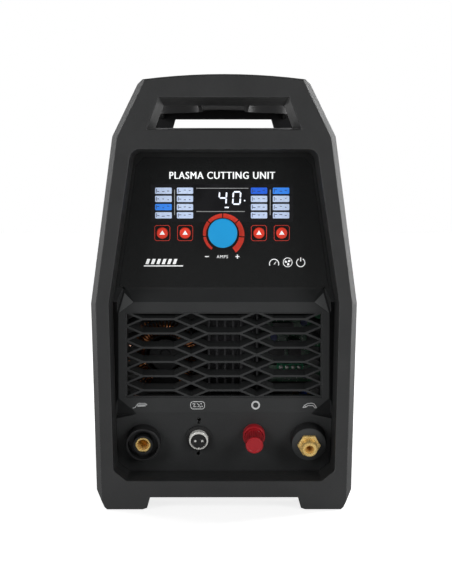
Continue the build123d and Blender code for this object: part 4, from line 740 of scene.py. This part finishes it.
def frame_corners():
    """Lighter skins on the two slanting corner faces, a painted highlight where these faces catch the light: (x,
    depth behind the frame, z) tips.
    """
    bm = bmesh.new()
    for side in (-1, 1):
        tips = [Vector((side * x, FRAME_FRONT + depth, z)) for x, depth, z in CORNER_TIPS]
        middle = sum(tips, Vector()) / 3
        outward = (tips[1] - tips[0]).cross(tips[2] - tips[0]).normalized()
        outward = outward if outward.y < 0 else -outward
        skin = facing(middle, outward)
        outline = [skin.inverted() @ (middle + (tip - middle) * 0.94) for tip in tips]
        prism(bm, skin, [(point.x, point.y) for point in outline], 0.0, 0.12)
    piece("frame_corner_faces", bm, "corner_highlight_plastic")


# ---------------------------------------------------------------- marks over the sockets
LEDGE = facing((0, node_box("front_panel")[0].y, 0), (0, -1, 0))
MARK_Z = 83.3
MARK_LINE = 0.62


def socket_marks():
    """Plain line drawings over the sockets: clamp, connector, ring and torch."""
    bm = bmesh.new()
    clamp = LEDGE @ Matrix.Translation((-70.9, MARK_Z, 0))
    stroke(bm, clamp, [(-6.0, -2.3), (-4.2, -1.9), (-2.8, 0.2), (-1.4, 1.6), (1.0, 1.7)], MARK_LINE, INK)
    stroke(bm, clamp, [(-2.6, 0.0), (5.8, 0.4), (4.6, 1.5), (-0.6, 1.2)], MARK_LINE, INK)
    stroke(bm, clamp, [(-2.0, -0.9), (4.4, -0.5)], MARK_LINE, INK)
    for tooth in range(4):
        stroke(bm, clamp, [(-1.0 + tooth * 1.5, 1.1), (-0.6 + tooth * 1.5, 2.0)], MARK_LINE * 0.8, INK)
    plug = LEDGE @ Matrix.Translation((-22.3, MARK_Z, 0))
    stroke(bm, plug, [(-4.4, 3.1), (4.4, 3.1), (5.9, 1.7), (5.9, -1.7), (4.4, -3.1), (-4.4, -3.1),
                      (-5.9, -1.7), (-5.9, 1.7), (-4.4, 3.1)], MARK_LINE, INK)
    stroke(bm, plug, [(-4.2, 1.2), (-2.0, 1.4), (-3.6, -1.2), (-1.2, -1.2)], MARK_LINE, INK)
    stroke(bm, plug, [(-0.4, 1.4), (1.6, 0.2), (0.2, -1.4)], MARK_LINE, INK)
    for x, y in ((3.0, 1.3), (3.9, -0.9), (2.2, -1.3)):
        prism(bm, plug @ Matrix.Translation((x, y, 0)), ring_points(0.6, 10), 0, INK)
    band(bm, LEDGE @ Matrix.Translation((26.8, MARK_Z + 0.1, 0)), 2.3, 3.7, 0, INK, steps=40)
    torch = LEDGE @ Matrix.Translation((72.6, MARK_Z, 0))
    stroke(bm, torch, [(-6.0, -2.0), (-4.6, -0.2), (-2.0, 1.4), (1.4, 1.8), (3.6, 1.2), (5.8, -2.2),
                       (4.2, -2.2), (2.8, -0.4), (-1.6, -0.2), (-3.2, -1.6), (-6.0, -2.0)], MARK_LINE, INK)
    stroke(bm, torch, [(-4.8, 0.1), (-3.4, -1.4)], MARK_LINE, INK)
    piece("socket_marks", bm, "print_pale")


# ---------------------------------------------------------------- sockets
SLOPE_TOP_Y = -186.5
SLOPE_TOP_Z = 77.6
SLOPE_LEAN = radians(14)


def on_slope(x, down):
    """Placement on the sloping face, so far down from its upper edge."""
    origin = (x, SLOPE_TOP_Y + down * sin(SLOPE_LEAN), SLOPE_TOP_Z - down * cos(SLOPE_LEAN))
    return facing(origin, (0, -cos(SLOPE_LEAN), -sin(SLOPE_LEAN)))


EARTH = on_slope(-68.3, 25.6)
PILOT = on_slope(-21.4, 23.4)
POST = on_slope(25.4, 20.0)
TORCH = on_slope(71.6, 24.4)
TURNED = 72


def earth_contact():
    """Brass contact with six flats on its nose and a plain round bore."""
    bm = bmesh.new()
    hexed = [(hexagon_points(11.9, 6.3, TURNED), 10.5), (hexagon_points(12.5, 6.55, TURNED), 10.0),
             (hexagon_points(12.5, 6.55, TURNED), 2.2)]
    bore = [(ring_points(4.5, TURNED), -11.5), (ring_points(4.5, TURNED), 9.8),
            (ring_points(5.0, TURNED), 10.5)]
    tail = [(ring_points(6.55, TURNED), 2.0), (ring_points(6.55, TURNED), -27.5)]
    loft(bm, EARTH, bore + hexed + tail)
    piece("earth_contact", bm, "brass", replaces=("earth_socket_contact",))


def moved(points, x, y):
    return [(point[0] + x, point[1] + y) for point in points]


PILOT_BORE = 6.65
PILOT_BORE_DROP = -0.85
PIN_SPREAD = 2.95


def pilot_socket():
    """Plated shell with a fine thread, its bore set low, round a black insert with two pins."""
    shell = bmesh.new()
    mouth = moved(ring_points(PILOT_BORE, TURNED), 0, PILOT_BORE_DROP)
    lip = moved(ring_points(PILOT_BORE + 0.3, TURNED), 0, PILOT_BORE_DROP)
    outside = [(7.95, 6.9), (8.15, 6.6)] + thread_profile(8.15, 0.16, 1.65, 6.2, 0.9) + [(7.85, 1.6)]
    loops = [(ring_points(7.85, TURNED), -15.0), (mouth, -15.0), (mouth, 6.4), (lip, 6.9)]
    loops += [(ring_points(radius, TURNED), height) for radius, height in outside]
    loft(shell, PILOT, loops, closed=True)
    key = PILOT @ Matrix.Translation((0, PILOT_BORE_DROP - PILOT_BORE + 0.2, 0))
    lathe(shell, key, [(0.95, 1.2), (0.95, 6.6), (0.7, 6.9)], 20)
    piece("pilot_shell", shell, "nickel", replaces=("pilot_socket_shell",))
    insert = bmesh.new()
    middle = PILOT @ Matrix.Translation((0, PILOT_BORE_DROP, 0))
    radius = PILOT_BORE - 0.02
    lathe(insert, middle, [(radius, -8.0), (radius, 4.6), (5.9, 4.6), (5.9, 5.6), (5.5, 6.0)], TURNED)
    piece("pilot_insert", insert, "black_insulator", replaces=("pilot_socket_insert",))
    pins = bmesh.new()
    for side in (-1, 1):
        pin = middle @ Matrix.Translation((side * PIN_SPREAD, 0.3, 0))
        lathe(pins, pin, [(1.05, -15.6), (1.05, 6.3), (0.85, 6.7), (0.4, 6.9)], 24)
    piece("pilot_pins", pins, "nickel", replaces=("pilot_socket_pins",))


POST_GRIPS = 22


def post():
    """Red terminal post: a lipped base that stays still and a fluted cap that turns."""
    base = bmesh.new()
    lathe(base, POST, [(3.02, 0), (3.02, 6.2), (7.7, 6.2), (8.0, 6.9), (9.15, 6.9), (9.4, 6.5), (9.4, 0.0)],
          TURNED, closed=True)
    piece("post_base", base, "red_plastic", replaces=("pilot_post_base",))
    cap = bmesh.new()
    sides = POST_GRIPS * 8
    loops = [(ring_points(3.09, sides), 23.2), (ring_points(3.09, sides), 8.0),
             (ring_points(7.2, sides), 8.0), (ring_points(7.55, sides), 8.5),
             (ring_points(7.5, sides), 9.4), (fluted_points(7.5, POST_GRIPS, 0.55, sides), 9.8),
             (fluted_points(7.38, POST_GRIPS, 0.55, sides), 24.0), (ring_points(7.35, sides), 24.4),
             (ring_points(7.3, sides), 25.4), (ring_points(6.85, sides), 25.95),
             (ring_points(5.6, sides), 26.0), (ring_points(5.3, sides), 25.75)]
    loft(cap, POST, loops)
    piece("post_cap_grip", cap, "red_plastic", "post_cap", replaces=("pilot_post_cap",))


def torch_outlet():
    """Brass outlet: chamfered hexagon, threaded spigot and a coned bore."""
    bm = bmesh.new()
    bore = [(2.5, -26.0), (2.5, 22.6), (3.7, 24.5), (5.9, 24.5)]
    spigot = thread_profile(6.5, 0.12, 16.0, 23.8, 1.34)
    loops = [(ring_points(radius, TURNED), height) for radius, height in bore + spigot]
    loops += [(ring_points(8.2, TURNED), 16.0), (hexagon_points(17.0, 9.8, TURNED), 15.7),
              (hexagon_points(17.0, 9.8, TURNED), 13.2), (ring_points(8.3, TURNED), 13.0),
              (ring_points(6.5, TURNED), 13.0), (ring_points(6.5, TURNED), -26.0)]
    loft(bm, TORCH, loops, closed=True)
    piece("torch_outlet", bm, "brass", replaces=("torch_connector",))
    # Painted shade: the flange's sides are black and only its face is grey, as lit and shaded copies of one
    # moulding.
    flange = bmesh.new()
    lathe(flange, TORCH, [(8.0, -8.0), (6.52, -8.0), (6.52, 12.2), (13.6, 12.2), (14.2, 12.0), (14.7, 11.4),
                          (15.3, 2.0), (15.3, 0.0), (8.0, 0.0)], 96, closed=True)
    piece("torch_flange_body", flange, "black_insulator", replaces=("torch_flange",))
    face = bmesh.new()
    rim = [(6.52, 12.2), (6.52, 13.0), (13.8, 13.0), (14.3, 12.7), (14.45, 12.2)]
    lathe(face, TORCH, rim, 96, closed=True)
    piece("torch_flange_face", face, "grey_insulator")


# ---------------------------------------------------------------- behind the grille
WIRE = 1.0
WINDING_TURNS = 50


def inductor():
    """Ring choke: dark core, a winding of single turns, and a clamp through the middle."""
    low, high = node_box("output_inductor")
    ring = facing((-52.0, (low.y + high.y) / 2, 120.0), (0, -1, 0))
    core = bmesh.new()
    lathe(core, ring, [(16.6, -7.4), (16.6, 7.4), (17.6, 8.2), (30.6, 8.2), (31.6, 7.2), (31.6, -7.2),
                       (30.6, -8.2), (17.6, -8.2)], 64, closed=True)
    piece("choke_core", core, "ferrite")
    wires = bmesh.new()
    for turn in range(WINDING_TURNS):
        spun = ring @ Matrix.Rotation(radians(-60 + 300 * turn / (WINDING_TURNS - 1)), 4, "Z")
        loop = []
        for step in range(14):
            angle = tau * step / 14
            loop.append(spun @ Vector((24.0 + 9.3 * cos(angle), 0, 9.6 * sin(angle))))
        tube(wires, loop, WIRE, 6, closed=True)
    piece("choke_winding", wires, "copper", replaces=("output_inductor",))
    clamp = bmesh.new()
    lathe(clamp, ring, [(3.0, -9.6), (13.5, -9.6), (14.2, -9.0), (14.2, 9.0), (13.5, 9.6), (5.0, 9.6),
                        (4.6, 10.6), (2.0, 10.6)], 40)
    piece("choke_clamp", clamp, "black_insulator")


def terminal_parts():
    """Parts on the board behind the grille: terminal block, film capacitors and a relay."""
    low = node_box("terminal_board")[0]
    front = facing((0, low.y, 0), (0, -1, 0))
    strip = bmesh.new()
    block(strip, front, (58, 110.6), (23, 7.0), 0, 9.0, corner=0.6)
    for pole in range(4):
        prism(strip, front @ Matrix.Translation((50.0 + pole * 5.3, 107.4, 0)), ring_points(1.9, 12), 0, 9.4)
    piece("terminal_strip", strip, "terminal_green")
    screws = bmesh.new()
    for pole in range(4):
        lathe(screws, front @ Matrix.Translation((50.0 + pole * 5.3, 110.8, 0)),
              [(1.9, 8.0), (1.9, 9.5), (1.5, 9.8)], 16)
    piece("terminal_screws", screws, "zinc_steel")
    parts = bmesh.new()
    for x, z, width, height, depth in ((46, 126, 14, 9, 11), (62, 127, 11, 16, 12), (79, 140, 12, 14, 9),
                                       (52, 146, 18, 8, 13), (80, 118, 9, 13, 10)):
        block(parts, front, (x, z), (width, height), 0, depth, corner=0.8)
    piece("terminal_board_parts", parts, "black_insulator")
    small = bmesh.new()
    for x, z in ((70, 150), (71, 104), (44, 137)):
        lathe(small, front @ Matrix.Translation((x, z, 0)), [(3.2, 0), (3.2, 9.4), (2.8, 10)], 20)
    piece("terminal_board_capacitors", small, "capacitor_sleeve")


# ---------------------------------------------------------------- fan and guard at the rear
FAN_AT = Vector(JOINTS["fan_spin"]["pos_m"]) / MM
FAN_HUB = 21.0
FAN_TIP = 56.2
FAN_BLADES = 7


def fan():
    """Hub with seven pitched, swept blades."""
    low, high = node_box("fan_rotor")
    hub_front = facing((FAN_AT.x, high.y, FAN_AT.z), (0, 1, 0))
    length = high.y - low.y
    rotor = bmesh.new()
    lathe(rotor, hub_front, [(3.08, -2.5), (3.08, -length), (FAN_HUB - 0.6, -length),
                             (FAN_HUB, 0.6 - length), (FAN_HUB, -1.2), (FAN_HUB - 1.2, 0.0),
                             (8.0, 0.0), (7.6, -0.4)], 64)
    middle = -length / 2
    for number in range(FAN_BLADES):
        spun = hub_front @ Matrix.Rotation(tau * number / FAN_BLADES, 4, "Z")
        blade(rotor, spun, middle)
    piece("fan_wheel", rotor, "black_insulator", "fan_rotor", replaces=("fan_rotor",))


def blade(bm, place, middle):
    """One blade as a thin curved plate: its chord turns from +z to -z as it goes round."""
    spans, chords, thick = 7, 6, 0.75
    sheets = []
    for side in (-thick, thick):
        rows = []
        for step in range(spans + 1):
            share = step / spans
            radius = FAN_HUB - 0.6 + (FAN_TIP - FAN_HUB + 0.6) * share
            row = []
            for cut in range(chords + 1):
                along = cut / chords - 0.5
                angle = radians(38 - 6 * share) * along + radians(9) * share * share
                height = middle + 7.6 * along * 2 * (0.98 - 0.25 * share) + 1.6 * (0.25 - along * along) * 4
                row.append(bm.verts.new(place @ Vector((
                    radius * cos(angle), radius * sin(angle), height + side
                ))))
            rows.append(row)
        sheets.append(rows)
    for rows in sheets:
        for lower, upper in zip(rows, rows[1:]):
            for cut in range(chords):
                bm.faces.new((lower[cut], lower[cut + 1], upper[cut + 1], upper[cut]))
    under, over = sheets
    rim = [(step, 0) for step in range(spans)] + [(spans, cut) for cut in range(chords)]
    rim += [(step, chords) for step in range(spans, 0, -1)] + [(0, cut) for cut in range(chords, 0, -1)]
    for step, spot in enumerate(rim):
        after = rim[(step + 1) % len(rim)]
        bm.faces.new((under[spot[0]][spot[1]], under[after[0]][after[1]],
                      over[after[0]][after[1]], over[spot[0]][spot[1]]))


GUARD_RINGS = (14, 24, 34, 44, 54)
GUARD_WIRE = 1.1
GUARD_LUG = 52.5


GUARD_EYE = [(2.2, 0.3), (2.2, 1.9), (2.5, 2.2), (4.2, 2.2), (4.5, 1.9), (4.5, 0.3), (4.2, 0.0), (2.5, 0.0)]


def guard():
    """Wire rings welded to four spokes, with an eye at each corner."""
    low = node_box("fan_guard")[0]
    bm = bmesh.new()
    plane = facing((FAN_AT.x, low.y, FAN_AT.z), (0, 1, 0))
    for ring in GUARD_RINGS:
        loop = [plane @ Vector((x, y, 3 * GUARD_WIRE)) for x, y in ring_points(ring, 64)]
        tube(bm, loop, GUARD_WIRE, 8, closed=True)
    for side_x in (-1, 1):
        for side_y in (-1, 1):
            start = plane @ Vector((side_x * 9.6, side_y * 9.6, GUARD_WIRE))
            end = plane @ Vector((side_x * (GUARD_LUG - 2.4), side_y * (GUARD_LUG - 2.4), GUARD_WIRE))
            tube(bm, [start, end], GUARD_WIRE, 8)
            eye = plane @ Matrix.Translation((side_x * GUARD_LUG, side_y * GUARD_LUG, 0))
            lathe(bm, eye, GUARD_EYE, 28, closed=True)
    piece("guard_wires", bm, "black_steel", replaces=("fan_guard",))


frame_corners()
socket_marks()
earth_contact()
pilot_socket()
post()
torch_outlet()
inductor()
terminal_parts()
fan()
guard()


# ---------------------------------------------------------------- camera, light and floor
CAMERA_AT = (-2.05, -1515.0, 243.9)
CAMERA_PITCH = 2.79
CAMERA_TURN = 0.163
LENS = 97.34


def camera():
    data = bpy.data.cameras.new("camera")
    data.lens = LENS
    data.sensor_width = 36
    data.clip_start = 0.05
    made = bpy.data.objects.new("camera", data)
    bpy.context.collection.objects.link(made)
    made.location = Vector(CAMERA_AT) * MM
    made.rotation_euler = (radians(90 - CAMERA_PITCH), 0, radians(-CAMERA_TURN))
    bpy.context.scene.camera = made


def softbox(name, at, target, size, power):
    data = bpy.data.lights.new(name, "AREA")
    data.shape = "RECTANGLE"
    data.size, data.size_y = size
    data.energy = power
    made = bpy.data.objects.new(name, data)
    bpy.context.collection.objects.link(made)
    made.location = at
    made.rotation_euler = (Vector(target) - Vector(at)).to_track_quat("-Z", "Y").to_euler()


FLOOR_REACH = 20000
FLOOR_SEEN = 0.80
FLOOR_GIVEN = 0.22
FRONT_GLOW = 0.05
BACK_GLOW = 1.0


def for_camera(tree, seen, given):
    """A number that is one value where the camera looks straight at a surface and another elsewhere."""
    path = tree.nodes.new("ShaderNodeLightPath")
    pick = tree.nodes.new("ShaderNodeMix")
    tree.links.new(path.outputs["Is Camera Ray"], pick.inputs[0])
    pick.inputs[3].default_value = seen
    if isinstance(given, float):
        pick.inputs[2].default_value = given
    else:
        tree.links.new(given, pick.inputs[2])
    return pick.outputs[0]


def floor():
    """A wide pale sheet that looks evenly lit and throws little light back up."""
    sheet = bmesh.new()
    corners = [(-1, -1), (1, -1), (1, 1), (-1, 1)]
    sheet.faces.new([sheet.verts.new((x * FLOOR_REACH * MM, y * FLOOR_REACH * MM, 0)) for x, y in corners])
    mesh = bpy.data.meshes.new("floor")
    sheet.to_mesh(mesh)
    sheet.free()
    made = bpy.data.objects.new("floor", mesh)
    bpy.context.collection.objects.link(made)
    paper = Finish("paper")
    tone = paper.noise(300, 3)
    body = paper.blend(paper.span(tone, 0, 1), (0.50, 0.50, 0.50), (0.54, 0.54, 0.54))
    paper.finish(body, paper.span(tone, 0.8, 0.9))
    paper.shader.inputs["Emission Color"].default_value = (1.0, 1.0, 1.0, 1)
    paper.join(for_camera(paper.tree, FLOOR_SEEN, FLOOR_GIVEN), paper.shader.inputs["Emission Strength"])
    mesh.materials.append(paper.material)


def room():
    """White room that is bright behind the machine and dark in front of it."""
    world = bpy.data.worlds.new("room")
    bpy.context.scene.world = world
    world.use_nodes = True
    tree = world.node_tree
    sky = tree.nodes["Background"]
    sky.inputs["Color"].default_value = (1.0, 1.0, 1.0, 1)
    place = tree.nodes.new("ShaderNodeTexCoord")
    split = tree.nodes.new("ShaderNodeSeparateXYZ")
    fade = tree.nodes.new("ShaderNodeMapRange")
    fade.inputs["From Min"].default_value = 0.05
    fade.inputs["From Max"].default_value = 0.6
    fade.inputs["To Min"].default_value = FRONT_GLOW
    fade.inputs["To Max"].default_value = BACK_GLOW
    tree.links.new(place.outputs["Generated"], split.inputs["Vector"])
    tree.links.new(split.outputs["Y"], fade.inputs["Value"])
    tree.links.new(for_camera(tree, 1.0, fade.outputs["Result"]), sky.inputs["Strength"])


def lights():
    """A broad box in front of each side and an upright strip behind it."""
    for side, power, strip in ((-1, 14, 14), (1, 14, 34)):
        name = "left" if side < 0 else "right"
        softbox(name + "_front", (side * 1.25, -1.65, 0.6), (0, -0.1, 0.2), (0.8, 0.8), power)
        softbox(name + "_strip", (side * 1.5, 0.75, 0.55), (0, 0, 0.25), (0.5, 1.5), strip)
    bpy.context.scene.view_settings.view_transform = "Standard"


camera()
floor()
room()
lights()
